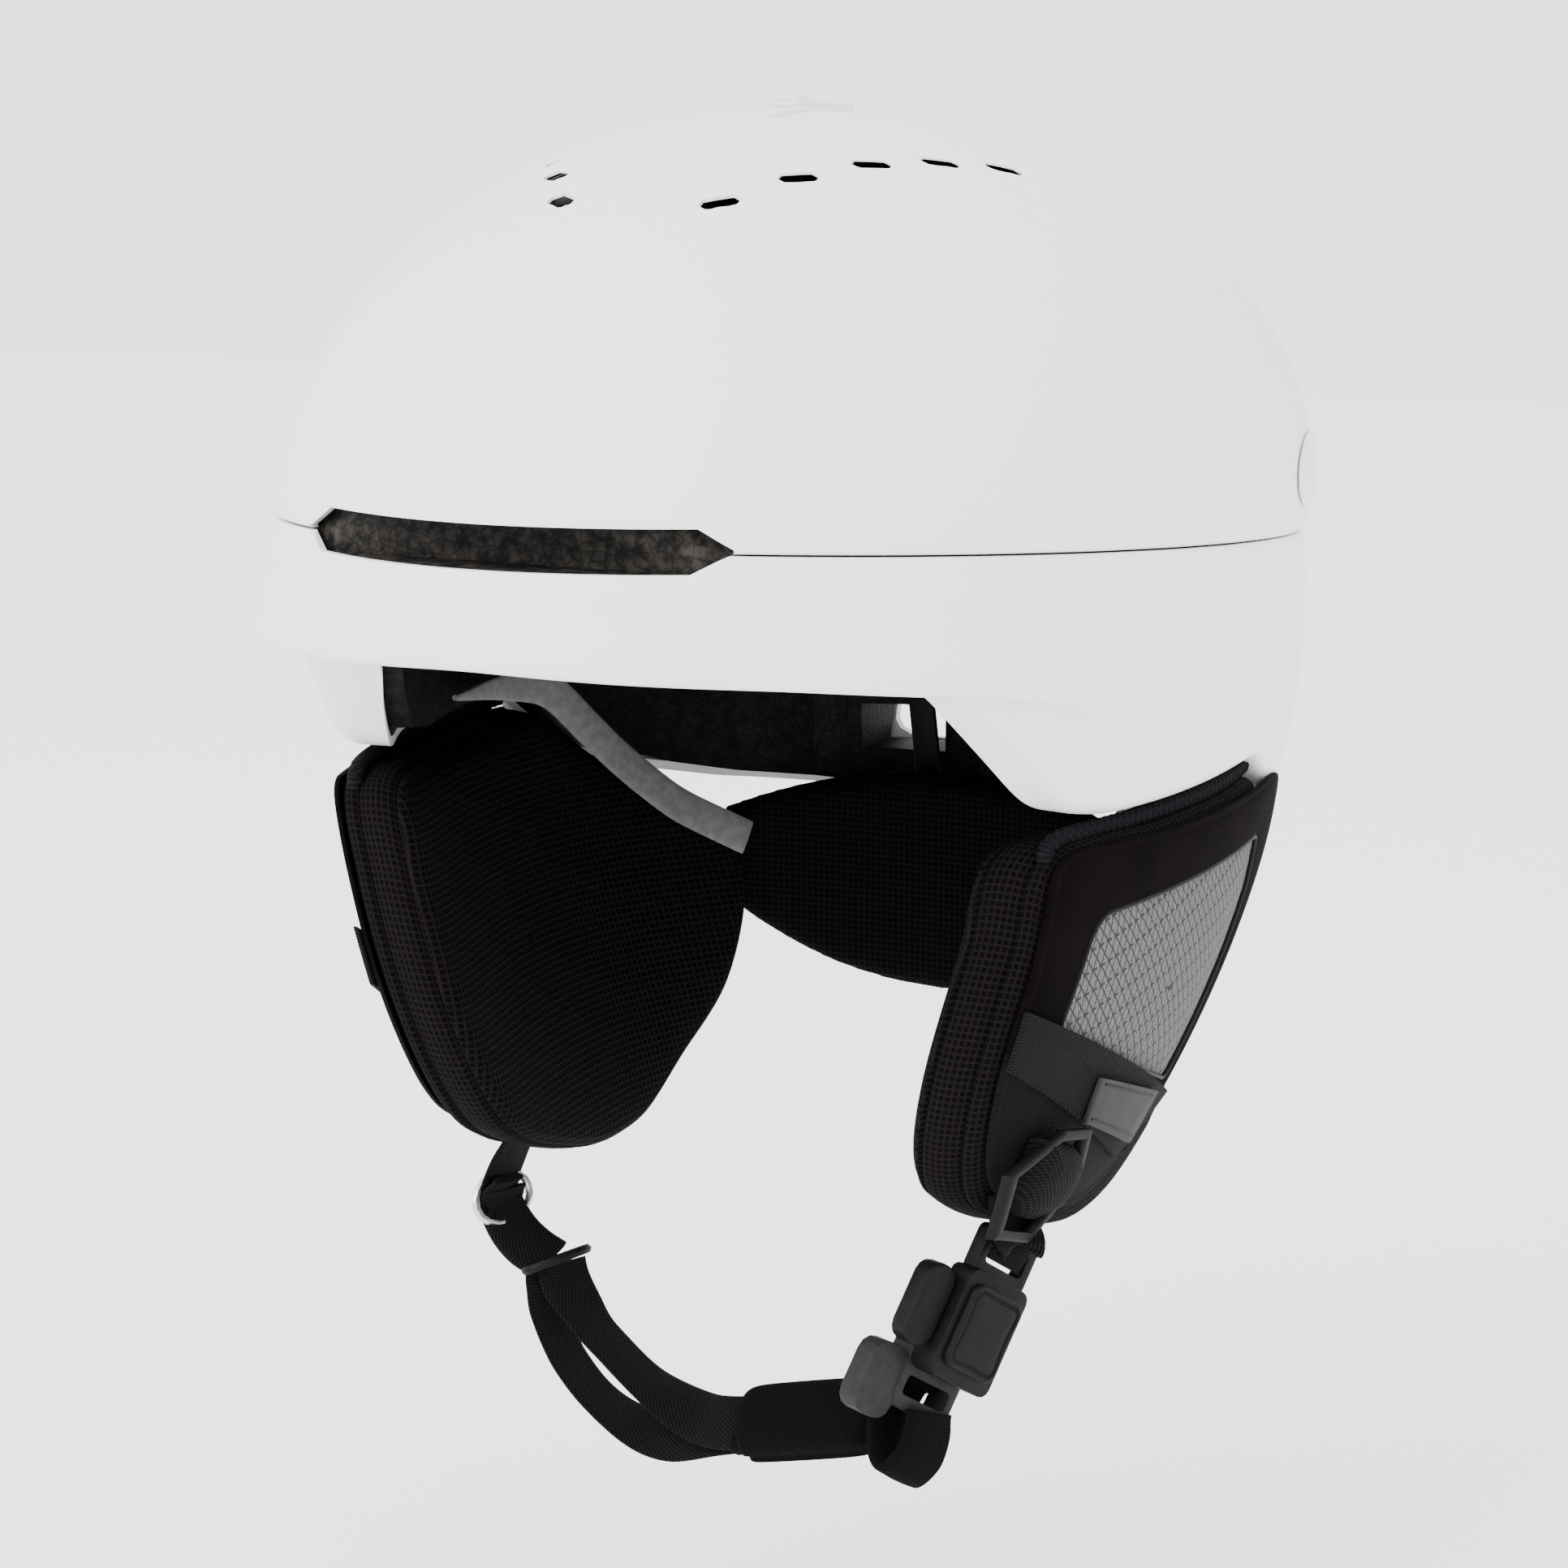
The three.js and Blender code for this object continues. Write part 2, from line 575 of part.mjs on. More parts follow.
// ---- buckle, in its own frame: X across, Y down the strap, Z out of its face ----
const buckleAxes = () => {
  const down = BUCKLE_DOWN.clone().normalize();
  const out = BUCKLE_OUT.clone().projectOnPlane(down).normalize();
  const across = new THREE.Vector3().crossVectors(down, out);
  return { across, down, out };
};
function inBuckle(geometry) {
  const { across, down, out } = buckleAxes();
  return geometry.applyMatrix4(new THREE.Matrix4().makeBasis(across, down, out).setPosition(BUCKLE_CENTRE));
}
function bucklePlace(x, y, z) {
  const { across, down, out } = buckleAxes();
  return BUCKLE_CENTRE.clone()
    .addScaledVector(across, x)
    .addScaledVector(down, y)
    .addScaledVector(out, z)
    .toArray();
}

const disc = (radius, z0, z1) =>
  new THREE.CylinderGeometry(radius, radius, z1 - z0, 12).rotateX(Math.PI / 2).translate(0, 0, (z0 + z1) / 2);

function bucklePieces() {
  const body = plate(roundedOutline(-10, -12.5, 10, 13, 2.5), -4, 3);
  const loop = plate(roundedOutline(-8.6, -23, 8.6, -11, 2), -2.6, 1.4);
  const receiver = cut(join([body, loop]), [
    plate(roundedOutline(-6.2, -20.4, 6.2, -14.6, 1), -10, 10),
    disc(5.2, -5, -2),
  ]);
  const tab = plate(roundedOutline(10.5, -10, 19.5, 9, 3.6), -5, 0.5);
  const face = plate(roundedOutline(-8.4, -9.6, 8.4, 9.8, 2.6), 3.4, 4.8);
  const magnet = disc(4.8, -4, -2.3);
  const wing = plate(roundedOutline(8, 10.2, 19.5, 27, 4), -11, -5.4);
  const lower = plate(roundedOutline(-9.4, -9, 9.4, 22.5, 3), -11.6, -4.8);
  const tongue = cut(join([lower, wing]), [
    plate(roundedOutline(-7.2, 14.8, 7.2, 19.4, 1), -20, 0),
    disc(5.2, -7, -4),
  ]);
  const lowerMagnet = disc(4.8, -6.7, -5.1);
  return { receiver, tab, face, magnet, tongue, lowerMagnet };
}

// ---- assembly ----
const helmet = new THREE.Group();
function add(name, geometry, material) {
  const mesh = new THREE.Mesh(geometry, material);
  mesh.name = name;
  helmet.add(mesh);
}
function addPair(name, geometry, material) {
  add(name + "_left", geometry, material);
  add(name + "_right", mirrored(geometry), material);
}

add("upper_shell", upperShell(), WHITE);
add("lower_shell", lowerShell(), WHITE);
add("eps_liner", foamLiner(), FOAM);
add("slip_liner", slipLiner(), GREY);
add("crown_pad", crownPads(), KNIT);
add("brow_pad", seamStrip(-52, 52, [34, 41], [16, 29], 8), KNIT);
addPair("side_pad", seamStrip(70, 116, [34, 40], [27, 39], 4), KNIT);
add("fit_band", seamStrip(-92, 92, [28.6, 30.2], [14, 24], 14), GREY);
addPair("strap_anchor", new THREE.CylinderGeometry(6, 6, 2.6, 16).rotateZ(Math.PI / 2).translate(82.4, -2, -2), DARK);

// Plain oval medallions.
const oval = Array.from({ length: 20 }, (_, i) => {
  const angle = (i / 20) * 2 * Math.PI;
  return [41 + 16 * Math.cos(angle), 40.4 + 8.6 * Math.sin(angle)];
});
addPair("badge", panel(oval, (y, z) => sidePoint(y, z, -0.9)[0], (y, z) => sidePoint(y, z, -0.35)[0]), TONAL);

const vent = ventPieces();
const shutter = cut(crownPatch(CROWN_PLATE.grow(0), 3.7, 5.1), slitPairs.map((place) => slitTool(place, 0.4)));
add("vent_track", vent.track, TONAL);
add("vent_slider", vent.slider, WHITE);
add("vent_shutter", shutter, DARK);

// Goggle-strap keeper at the back: base, pin and hook.
const KEEPER = { y: 136, top: -3, half: 12 };
const knuckle = (x0, x1) =>
  new THREE.CylinderGeometry(3, 3, x1 - x0, 16).rotateZ(Math.PI / 2).translate((x0 + x1) / 2, KEEPER.y + 6, KEEPER.top);
const keeperPin = (radius, length) =>
  new THREE.CylinderGeometry(radius, radius, length, 12)
    .rotateZ(Math.PI / 2)
    .translate(0, KEEPER.y + 6, KEEPER.top);
const pinHole = keeperPin(1.5, 40);
const keeperBase = join([
  box([-KEEPER.half, KEEPER.y, KEEPER.top - 28], [KEEPER.half, KEEPER.y + 2.6, KEEPER.top + 3]),
  ...[-1, 1].flatMap((s) => [
    knuckle(...[s * 7, s * KEEPER.half].sort((a, b) => a - b)),
    box(
      [Math.min(s * 7, s * KEEPER.half), KEEPER.y + 1, KEEPER.top - 2],
      [Math.max(s * 7, s * KEEPER.half), KEEPER.y + 6, KEEPER.top + 2],
    ),
  ]),
]);
add("goggle_clip_base", cut(keeperBase, [pinHole]), DARK);
add("goggle_clip_pin", keeperPin(1.1, 24.4), STEEL);
const hook = join([
  knuckle(-6.6, 6.6),
  box([-6.6, KEEPER.y + 6.5, KEEPER.top - 8], [6.6, KEEPER.y + 9, KEEPER.top + 1]),
  plate(roundedOutline(-11, KEEPER.top - 30, 11, KEEPER.top - 5, 3), 0, 2.5)
    .applyMatrix4(new THREE.Matrix4().makeBasis(
      new THREE.Vector3(1, 0, 0),
      new THREE.Vector3(0, 0, 1),
      new THREE.Vector3(0, -1, 0),
    ))
    .translate(0, KEEPER.y + 10.4, 0),
  box([-8, KEEPER.y + 3.2, KEEPER.top - 30], [8, KEEPER.y + 9, KEEPER.top - 27]),
]);
add("goggle_hook", cut(hook, [pinHole]), DARK);

// Rear cradle: hangers, bowed plate, soft pad, dial and side arms.
const cradleY = (x) => CRADLE.y - (x * x) / CRADLE.bow;
const hanger = (side) =>
  throughFront([[side * 5, -66], [side * 12, -66], [side * 21, 10], [side * 14, 10]], CRADLE.y + 3.4, CRADLE.y + 5.4);
const bridge = box([-20, CRADLE.y + 3.4, 4], [20, CRADLE.y + 5.4, 14]);
add("cradle_rail", join([hanger(-1), hanger(1), bridge]), DARK);

// Bowed plate between two distances from the cradle's line, with a top and bottom edge by x.
function bowed(half, inner, far, top, bottom, columns) {
  const rings = Array.from({ length: columns + 1 }, (_, i) => {
    const x = mix(-half, half, i / columns);
    const share = Math.abs(x) / half;
    const [near, high, low] = [inner(share), top(share), bottom(share)];
    const soft = Math.min(2.5, (far - near) / 3);
    return [
      [near, low + soft], [near, high - soft], [near + soft, high], [far - soft, high],
      [far, high - soft], [far, low + soft], [far - soft, low], [near + soft, low],
    ].map(([away, z]) => [x, cradleY(x) + away, z]);
  });
  return loft(rings);
}
add("rear_cradle", bowed(CRADLE.half, () => 0, CRADLE.thick, (s) => -54 - 6 * s, (s) => -98 + 22 * s * s, 12), GREY);
add("neck_pad", bowed(60, (s) => -12.5 + 7.5 * s * s, -0.5, (s) => -48 - 12 * s * s, (s) => -105 + 20 * s ** 2.2, 12), KNIT);
const roundAtDial = (radius, y0, y1, sides = 20) =>
  new THREE.CylinderGeometry(radius, radius, y1 - y0, sides).translate(0, (y0 + y1) / 2, DIAL.z);
const housing = cut(roundAtDial(DIAL.radius + 1.5, CRADLE.y + 5.8, DIAL.y - 0.6), [roundAtDial(4, 90, 120, 12)]);
add("dial_housing", housing, DARK);
const grips = Array.from({ length: DIAL.ribs }, (_, i) => {
  const angle = (i / DIAL.ribs) * 2 * Math.PI;
  const [across, up] = [Math.cos(angle), Math.sin(angle)].map((v) => v * (DIAL.radius + 0.6));
  return new THREE.CylinderGeometry(1.7, 1.7, 30, 6).translate(across, DIAL.y, DIAL.z + up);
});
const knob = cut(roundAtDial(DIAL.radius, DIAL.y, DIAL.y + DIAL.depth, 36), [
  ...grips,
  roundAtDial(10.5, DIAL.y + DIAL.depth - 2, DIAL.y + DIAL.depth + 5),
]);
add("dial_knob", knob, DARK);
add("dial_shaft", roundAtDial(3.5, CRADLE.y + 3.4, DIAL.y - GAP, 12), STEEL);
const arm = ribbon([
  [79, -20, -20, 0, 0, 1], [79.5, 2, -21, 0, 0, 1], [78, 20, -22.5, 0, 0.25, 1], [69.5, 36, -39, 0, 0.5, 0.8],
  [59.5, 51, -54, 0, 0.5, 0.8], [48.5, 70, -66, 0, 0.3, 1],
], 12, 9, 1.4);
addPair("band_arm", arm, GREY);

// Ear pads, left and right.
const ear = earPieces();
for (const [name, node] of [["pad", "ear_pad"], ["cover", "ear_cover"], ["mesh", "ear_mesh"],
  ["collar", "ear_collar"], ["band", "ear_band"], ["label", "ear_label"]]) {
  addPair(node, ear[name][0], ear[name][1]);
}
add("strap_divider_left", ear.divider[0], DARK);
add("strap_upper_left", ear.tucked[0], WEBBING);

// Buckle, upper half and its webbing.
const buckle = bucklePieces();
add("strap_lower_left", ribbon([
  [73.6, -30, -127.6, 0.3, 0.83, -0.5], [...bucklePlace(0, -23, 4), 0.34, 0.76, -0.55],
  [...bucklePlace(0, -18.4, 1.6), 0.34, 0.76, -0.55], [...bucklePlace(0, -16.6, -1.4), 0.34, 0.76, -0.55],
], 8, 11, 1.4), WEBBING);
add("buckle_receiver", inBuckle(buckle.receiver), DARK);
add("buckle_plate", inBuckle(buckle.face), DARK);
add("receiver_magnet", inBuckle(buckle.magnet), STEEL);
add("release_tab", inBuckle(buckle.tab), DARK);

// Lower half, folded tail, chin pad and webs.
add("buckle_tongue", inBuckle(buckle.tongue), GREY);
add("tongue_magnet", inBuckle(buckle.lowerMagnet), STEEL);
add("strap_tail", ribbon([
  [...bucklePlace(0, 17, -13.6), 0.34, 0.76, -0.55], [...bucklePlace(-1, 24, -13.2), 0.34, 0.76, -0.55],
  [...bucklePlace(-3, 33, -10), 0.34, 0.76, -0.55], [...bucklePlace(-4, 35, -6), 0.34, 0.76, -0.55],
  [...bucklePlace(-4, 30, -3.6), 0.34, 0.76, -0.55], [...bucklePlace(-3, 24.5, -3), 0.34, 0.76, -0.55],
], 14), WEBBING);
const SLEEVE = { from: [6, -36, -180.5], to: [41.5, -37, -171.5], out: [0, 0.62, 0.78] };
const sleeveOuter = sweep([SLEEVE.from, SLEEVE.to].map((at) => ({ at, out: SLEEVE.out })), 18, 10.4);
const sleeveInner = sweep(
  [[-3.4, -35.7, -182.9], [50.9, -37.3, -169.1]].map((at) => ({ at, out: SLEEVE.out })), WEB_WIDTH + 2.4, 5.6);
add("chin_pad", cut(sleeveOuter, [sleeveInner]), KNIT);
const sleeveUp = new THREE.Vector3(35.5, -1, 9).normalize().cross(new THREE.Vector3(...SLEEVE.out)).normalize();
const beside = (at, distance) => new THREE.Vector3(...at).addScaledVector(sleeveUp, distance).toArray();
const webEnd = (share, distance) => beside(SLEEVE.from.map((v, k) => mix(v, SLEEVE.to[k], share)), distance);
const RING = [-50.6, -25.6, -152.4];
add("chin_web_lower", ribbon([
  [-53.2, -26, -157.4, 0.45, 0.8, 0.3], [-51.6, -27, -165, 0.2, 0.9, 0.2], [-45.2, -29, -176, -0.1, 0.98, 0.2],
  [-31.1, -31, -186, -0.2, 0.95, 0.25], [-14.5, -33.5, -188.4, -0.1, 0.8, 0.5],
  [...webEnd(-0.14, -1.15), 0, 0.62, 0.78], [...webEnd(0.5, -1.15), 0, 0.62, 0.78],
  [...webEnd(1.12, -1.15), 0, 0.62, 0.78],
], 18), WEBBING);
add("chin_web_upper", ribbon([
  [-47.4, -26, -157.6, 0.45, 0.8, 0.3], [-43.6, -26.6, -162, 0.2, 0.9, 0.2], [-36.5, -28, -168.5, -0.1, 0.98, 0.2],
  [-22.7, -30.5, -176.6, -0.2, 0.95, 0.25], [-10, -33.6, -180.6, -0.1, 0.8, 0.5],
  [...webEnd(-0.1, 1.15), 0, 0.62, 0.78], [...webEnd(0.5, 1.15), 0, 0.62, 0.78],
  [...webEnd(1.12, 1.15), 0, 0.62, 0.78],
], 17), WEBBING);

// Right side: webbing out of the pad, D-ring, link and ring keeper.
function ring(radius, tube, flat, centre, axis, out) {
  const normal = new THREE.Vector3(...axis).normalize();
  const across = new THREE.Vector3(...out).projectOnPlane(normal).normalize();
  const up = new THREE.Vector3().crossVectors(normal, across);
  return new THREE.TorusGeometry(radius, tube, 6, 18)
    .scale(1, flat, 1)
    .applyMatrix4(new THREE.Matrix4().makeBasis(across, up, normal).setPosition(...centre));
}
add("ring_keeper", ring(8.2, 1.2, 0.62, RING, [0.42, -0.08, -0.9], [0.45, 0.8, 0.3]), DARK);
add("strap_upper_right", ribbon([
  [-63.5, -22, -128, 0.2, 0.95, 0.1], [-65.4, -22.8, -130, 0.2, 0.95, 0.1], [-66.4, -23.5, -132.4, 0.2, 0.95, 0.1],
], 3), WEBBING);
add("d_ring_right", ring(8.6, 1.1, 0.7, [-66.6, -24.1, -139.4], [-0.9, 0.3, -0.35], [0.2, 0.95, 0.1]), STEEL);
add("strap_link_right", ribbon([
  [-64.2, -24.3, -146.6, 0.3, 0.9, 0.2], [-60, -24.7, -147.8, 0.4, 0.85, 0.25],
  [-54.8, -25.2, -149.4, 0.45, 0.8, 0.3],
], 4), WEBBING);

export default helmet;
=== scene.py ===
"""Looks for the ski helmet: fine shells, padding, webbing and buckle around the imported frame.

Lengths in this file are millimetres and angles are degrees, as in the part's source. Meshes are
made in metres. +X is the wearer's left, -Y the front and +Z up.
"""

import math

import bpy
import numpy as np
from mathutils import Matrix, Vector
from mathutils.bvhtree import BVHTree


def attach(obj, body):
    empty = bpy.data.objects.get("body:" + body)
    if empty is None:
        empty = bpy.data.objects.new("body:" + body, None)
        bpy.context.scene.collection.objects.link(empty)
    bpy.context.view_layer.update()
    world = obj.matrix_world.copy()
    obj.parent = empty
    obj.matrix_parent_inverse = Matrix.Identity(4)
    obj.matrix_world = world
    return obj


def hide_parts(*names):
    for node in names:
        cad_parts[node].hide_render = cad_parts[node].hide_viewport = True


MM = 0.001
CAMERA_PLACE = (0.34742, -0.68385, 0.11476)  # metres
CAMERA_LOOK = (-0.44649, 0.87397, -0.19189)
CAMERA_LENS = 76.375
SKY_STRENGTH = 2.6
FLOOR_LEVEL = -262
FLOOR_REACH = 4000

# ---- dimensions shared with the part's source ----
SHELL_FRONT = 138
SHELL_BACK = 135
SHELL_HALF_WIDTH = 112
SHELL_RISE = 92
SEAM_HEIGHT = 28
SEAM_TILT = 0.058
EGG = 11.9
FULL_FRONT = 0.405
FULL_SIDE = -0.169
FULL_BACK = 0.127
SHELL_THICK = 2.4
CROWN_THINNING = 1.5  # the shell is thinner round the slits
GAP = 0.4
BRIM_FLARE = 7
LEDGE = 4.5
SIDE_CURVE = 2.3
SIDE_BULGE = 1.5
LIP_HEIGHT = [[0, 12], [30, 9], [48, 5], [57, 1], [68, -3], [84, -8], [180, -20]]
EDGE_HEIGHT = [
    [0, 11], [30, 8], [48, 4], [52, -3], [57, -14], [62, -25], [68, -27.3], [76, -26.5],
    [84, -25.5], [93, -24], [98, -24.5], [103, -33], [110, -44], [120, -50], [135, -55], [180, -62],
]
EDGE_INSET = [
    [0, 6], [48, 6], [52, 6], [57, 7.5], [62, 8.5], [68, 8.5], [76, 7.5], [85, 6.5], [94, 5.5],
    [103, 7.5], [180, 9],
]
RIM_REACH = [
    [0, 12], [44, 12], [48, 20], [52, 22.5], [57, 21], [62, 20.5], [68, 18], [76, 14], [94, 11.5],
    [180, 15],
]
LEDGE_SHARE = [[0, 1], [54, 1], [68, 0], [180, 0]]
SEAM_STEP = [[0, 0.8], [76, 0.8], [100, 0], [180, 0]]  # how far the lower shell stands proud
SLOT_HALF = 49.5
SLOT_SHOULDER = 42.5
SLOT_HEIGHT = 4.3
SLOT_LEVEL = 35.7
SLOT_LIP_WIDTH = 1.8
SLOT_LIP_DEPTH = 0.7
SLIT_HALF = 4.6
SLIT_SHOULDER = 3.2
SLIT_DEPTH = 2.1
SLIT_TURN = 0.56
SLIT_PLACES = [[19, -70], [29.3, -54.5], [38.8, -39], [48.3, -25], [57.5, -12]]
RECESS_STEP = (16.5, 7.4)  # from a slit to the next row of recesses
RECESS_FRONT = -84
RECESS_INSIDE = 5
SLIDE_SLOT = [(-4, -17), (4, -17), (4, 14), (-4, 14)]
FRONT_CUT = (-160, -100)  # from and to along Y
REAR_CUT = (80, 150)
REAR_VENT_MIDDLE = 20
REAR_VENT_HALF = 11
REAR_VENT_TOP = -34
REAR_VENT_BOTTOM = -46

EAR_SIDE = 104
EAR_LEAN = 32
EAR_MIDDLE = 15
EAR_FRONT = 0.003
EAR_BACK = 0.003
EAR_THICK = 21.5
EAR_HOLLOW = 0.007
EAR_REAR_START = 42  # behind this the pad's face curves in and the pad thins
EAR_REAR_CURVE = 0.03
PAD_OUTLINE = [
    [-53, -33.5], [-20, -31.5], [10, -30.5], [26, -29.5], [34, -33], [46, -42.5], [58, -51.5],
    [67, -60], [70, -73], [67, -89], [59, -106], [46, -119], [28, -130.5], [10, -133], [-4, -131],
    [-18, -127], [-32, -121.5], [-44, -113.5], [-52, -100], [-56.5, -80], [-56.5, -55],
]
COVER_OUTLINE = [
    [-56.5, -42], [-56, -36], [-53, -33], [-46, -32.5], [-20, -32.5], [15, -31.5], [47, -31.5],
    [50, -40], [48, -50], [42, -63], [34, -80], [25, -98], [16, -112], [6, -121.5], [-6, -125],
    [-20, -122.5], [-34, -117.5], [-45, -110.5], [-52, -99], [-56.5, -80], [-56.5, -55],
]
WINDOW = [
    [-39.5, -48], [31, -43], [33, -56], [29, -72], [24, -86], [18, -100], [-40, -79], [-44, -75.5],
    [-42, -52],
]
BAND = [[-57.6, -66.5], [20, -103.5], [2, -115.5], [-57.6, -80]]
LABEL = [[-27, -88], [6, -99.5], [2, -111.5], [-26.5, -99]]
DIVIDER = [[-38, -97.5], [-28, -99.5], [-23.5, -113.5], [-32.5, -126.5], [-46.5, -122], [-50.5, -105.5]]
TUCKED_WEB = [[-42, -99], [-27, -104.5], [-21, -115], [-27, -122.5], [-42, -117]]
COLLAR_PATH = [
    [-52.5, -36], [-53.5, -33.2], [-51, -30.8], [-44, -29.8], [-20, -29.2], [10, -28.4], [31, -27.2],
]
WEB_WIDTH = 13
WEB_THICK = 1.5
BUCKLE_CENTRE = Vector((64, -37, -147))
BUCKLE_DOWN = Vector((-0.21, -0.49, -0.83)).normalized()
BUCKLE_OUT = Vector((0.9, -0.4, 0.01))

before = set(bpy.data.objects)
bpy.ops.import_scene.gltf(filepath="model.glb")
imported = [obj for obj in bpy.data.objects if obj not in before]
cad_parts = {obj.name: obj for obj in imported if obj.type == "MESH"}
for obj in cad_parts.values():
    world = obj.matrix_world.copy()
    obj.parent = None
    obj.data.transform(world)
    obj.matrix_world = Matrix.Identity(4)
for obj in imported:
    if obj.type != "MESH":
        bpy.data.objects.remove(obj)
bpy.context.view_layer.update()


# ---- camera, floor and light ----
def add_camera():
    data = bpy.data.cameras.new("camera")
    data.lens = CAMERA_LENS
    data.sensor_width = 36
    camera = bpy.data.objects.new("camera", data)
    camera.location = CAMERA_PLACE
    camera.rotation_mode = "QUATERNION"
    camera.rotation_quaternion = Vector(CAMERA_LOOK).to_track_quat("-Z", "Y")
    bpy.context.collection.objects.link(camera)
    bpy.context.scene.camera = camera


def add_light(name, place, size, power):
    data = bpy.data.lights.new(name, "AREA")
    data.size = size
    data.energy = power
    light = bpy.data.objects.new(name, data)
    light.location = place
    light.rotation_mode = "QUATERNION"
    light.rotation_quaternion = (-Vector(place)).to_track_quat("-Z", "Y")
    bpy.context.collection.objects.link(light)


# ---- materials ----
class Finish:
    """A material with a Principled shader and short calls for its nodes."""

    def __init__(self, name, colour, roughness, **sockets):
        self.material = bpy.data.materials.new(name)
        self.material.use_nodes = True
        self.nodes = self.material.node_tree.nodes
        self.links = self.material.node_tree.links
        self.shader = self.nodes["Principled BSDF"]
        self.shader.inputs["Base Color"].default_value = (*colour, 1)
        self.shader.inputs["Roughness"].default_value = roughness
        for socket, value in sockets.items():
            self.shader.inputs[socket.replace("_", " ")].default_value = value

    def node(self, kind, *inputs, **settings):
        """A node. Its first inputs come in order, and a capitalised setting is a socket's name."""
        made = self.nodes.new("ShaderNode" + kind)
        for key, value in settings.items():
            if key[0].isupper():
                self.put(made.inputs[key.replace("_", " ")], value)
            else:
                setattr(made, key, value)
        for socket, value in zip(made.inputs, inputs):
            self.put(socket, value)
        return made

    def put(self, socket, value):
        if value is None:
            return
        if isinstance(value, bpy.types.NodeSocket):
            self.links.new(value, socket)
        else:
            socket.default_value = value

    def maths(self, operation, *values):
        return self.node("Math", *values, operation=operation).outputs[0]

    def place(self, scale=(1, 1, 1)):
        """Object coordinates in metres, scaled."""
        source = self.node("TexCoord").outputs["Object"]
        return self.node("Mapping", source, Scale=scale).outputs[0]

    def weave(self, turn=0.0):
        """The piece's own weave coordinates in millimetres, as two numbers."""
        source = self.node("UVMap", uv_map="weave").outputs[0]
        mapped = self.node("Mapping", source, Rotation=(0, 0, turn))
        split = self.node("SeparateXYZ", mapped.outputs[0])
        return split.outputs[0], split.outputs[1]

    def noise(self, scale, detail=4.0, vector=None):
        vector = self.place() if vector is None else vector
        return self.node("TexNoise", vector, Scale=scale, Detail=detail).outputs["Fac"]

    def ramp(self, value, *stops):
        made = self.node("ValToRGB", value)
        elements = made.color_ramp.elements
        while len(elements) < len(stops):
            elements.new(0.5)
        for element, (position, colour) in zip(elements, stops):
            element.position = position
            element.color = (*colour, 1)
        return made.outputs[0]

    def colour(self, output):
        self.links.new(output, self.shader.inputs["Base Color"])

    def roughness(self, value, low, high):
        spread = self.node("MapRange", value, To_Min=low, To_Max=high)
        self.links.new(spread.outputs[0], self.shader.inputs["Roughness"])

    def bump(self, height, strength, depth_mm):
        made = self.node("Bump", Strength=strength, Distance=depth_mm * MM, Height=height)
        before = self.shader.inputs["Normal"].links
        if before:
            self.links.new(before[0].from_socket, made.inputs["Normal"])
        self.links.new(made.outputs[0], self.shader.inputs["Normal"])


def ridge(finish, value, period):
    """A smooth ridge, 0 to 1, repeating along a coordinate."""
    wave = finish.maths("SINE", finish.maths("MULTIPLY", value, 2 * math.pi / period))
    return finish.maths("MULTIPLY_ADD", wave, 0.5, 0.5)


def shell_finish(name, colour, roughness):
    made = Finish(name, colour, roughness, Coat_Weight=0.08, Coat_Roughness=0.25)
    cloud = made.noise(9, 2)
    tone = [tuple(c * k for c in colour) for k in (0.985, 1.0)]
    made.colour(made.ramp(cloud, (0.3, tone[0]), (0.7, tone[1])))
    made.roughness(made.noise(160, 3), roughness - 0.03, roughness + 0.03)
    made.bump(made.noise(1400, 2), 0.05, 0.06)
    return made.material


def foam_finish():
    made = Finish("bead_foam", (0.02, 0.02, 0.021), 0.6, Specular_IOR_Level=0.1)
    beads = made.node("TexVoronoi", made.place(), feature="DISTANCE_TO_EDGE", Scale=380)
    joint = made.ramp(beads.outputs["Distance"], (0.0, (0.45, 0.45, 0.45)), (0.1, (1, 1, 1)))
    mottle = made.noise(330, 3)
    tint = made.ramp(mottle, (0.4, (0.006, 0.0055, 0.005)), (0.68, (0.035, 0.031, 0.027)))
    shade = made.node("Mix", 1.0, data_type="RGBA", blend_type="MULTIPLY")
    made.put(shade.inputs[6], tint)
    made.put(shade.inputs[7], joint)
    # Painted shade: foam further in than y = -0.1 m, deeper inside the shell, is darkened to 0.22 of its
    # colour.
    depth = made.node("SeparateXYZ", made.place()).outputs[1]
    front = made.node("MapRange", depth, From_Min=-0.112, From_Max=-0.1, To_Min=1, To_Max=0.22)
    inside = made.node("VectorMath", shade.outputs[2], operation="SCALE")
    made.put(inside.inputs["Scale"], front.outputs[0])
    made.colour(inside.outputs[0])
    made.bump(joint, 0.6, 0.25)
    made.bump(mottle, 0.3, 0.2)
    return made.material


def knit_finish(name, dark, light, period=1.6):
    made = Finish(name, dark, 0.9, Sheen_Weight=0.004, Specular_IOR_Level=0.03)
    along, across = made.weave()
    ribs = [made.maths("POWER", ridge(made, v, period), 2.5) for v in (along, across)]
    waffle = made.maths("MAXIMUM", *ribs)
    loops = made.noise(1500, 2)
    made.colour(made.ramp(waffle, (0.1, dark), (0.9, light)))
    made.bump(waffle, 0.9, 0.5)
    made.bump(loops, 0.5, 0.15)
    return made.material


def suede_finish():
    made = Finish("cover_suede", (0.004, 0.003, 0.0028), 0.85, Sheen_Weight=0.002,
                  Specular_IOR_Level=0.02)
    grain = made.noise(1900, 3)
    cloud = made.noise(60, 3)
    made.colour(made.ramp(cloud, (0.3, (0.0016, 0.0013, 0.0012)), (0.7, (0.0034, 0.0024, 0.0021))))
    made.roughness(grain, 0.75, 0.95)
    made.bump(grain, 0.5, 0.12)
    return made.material


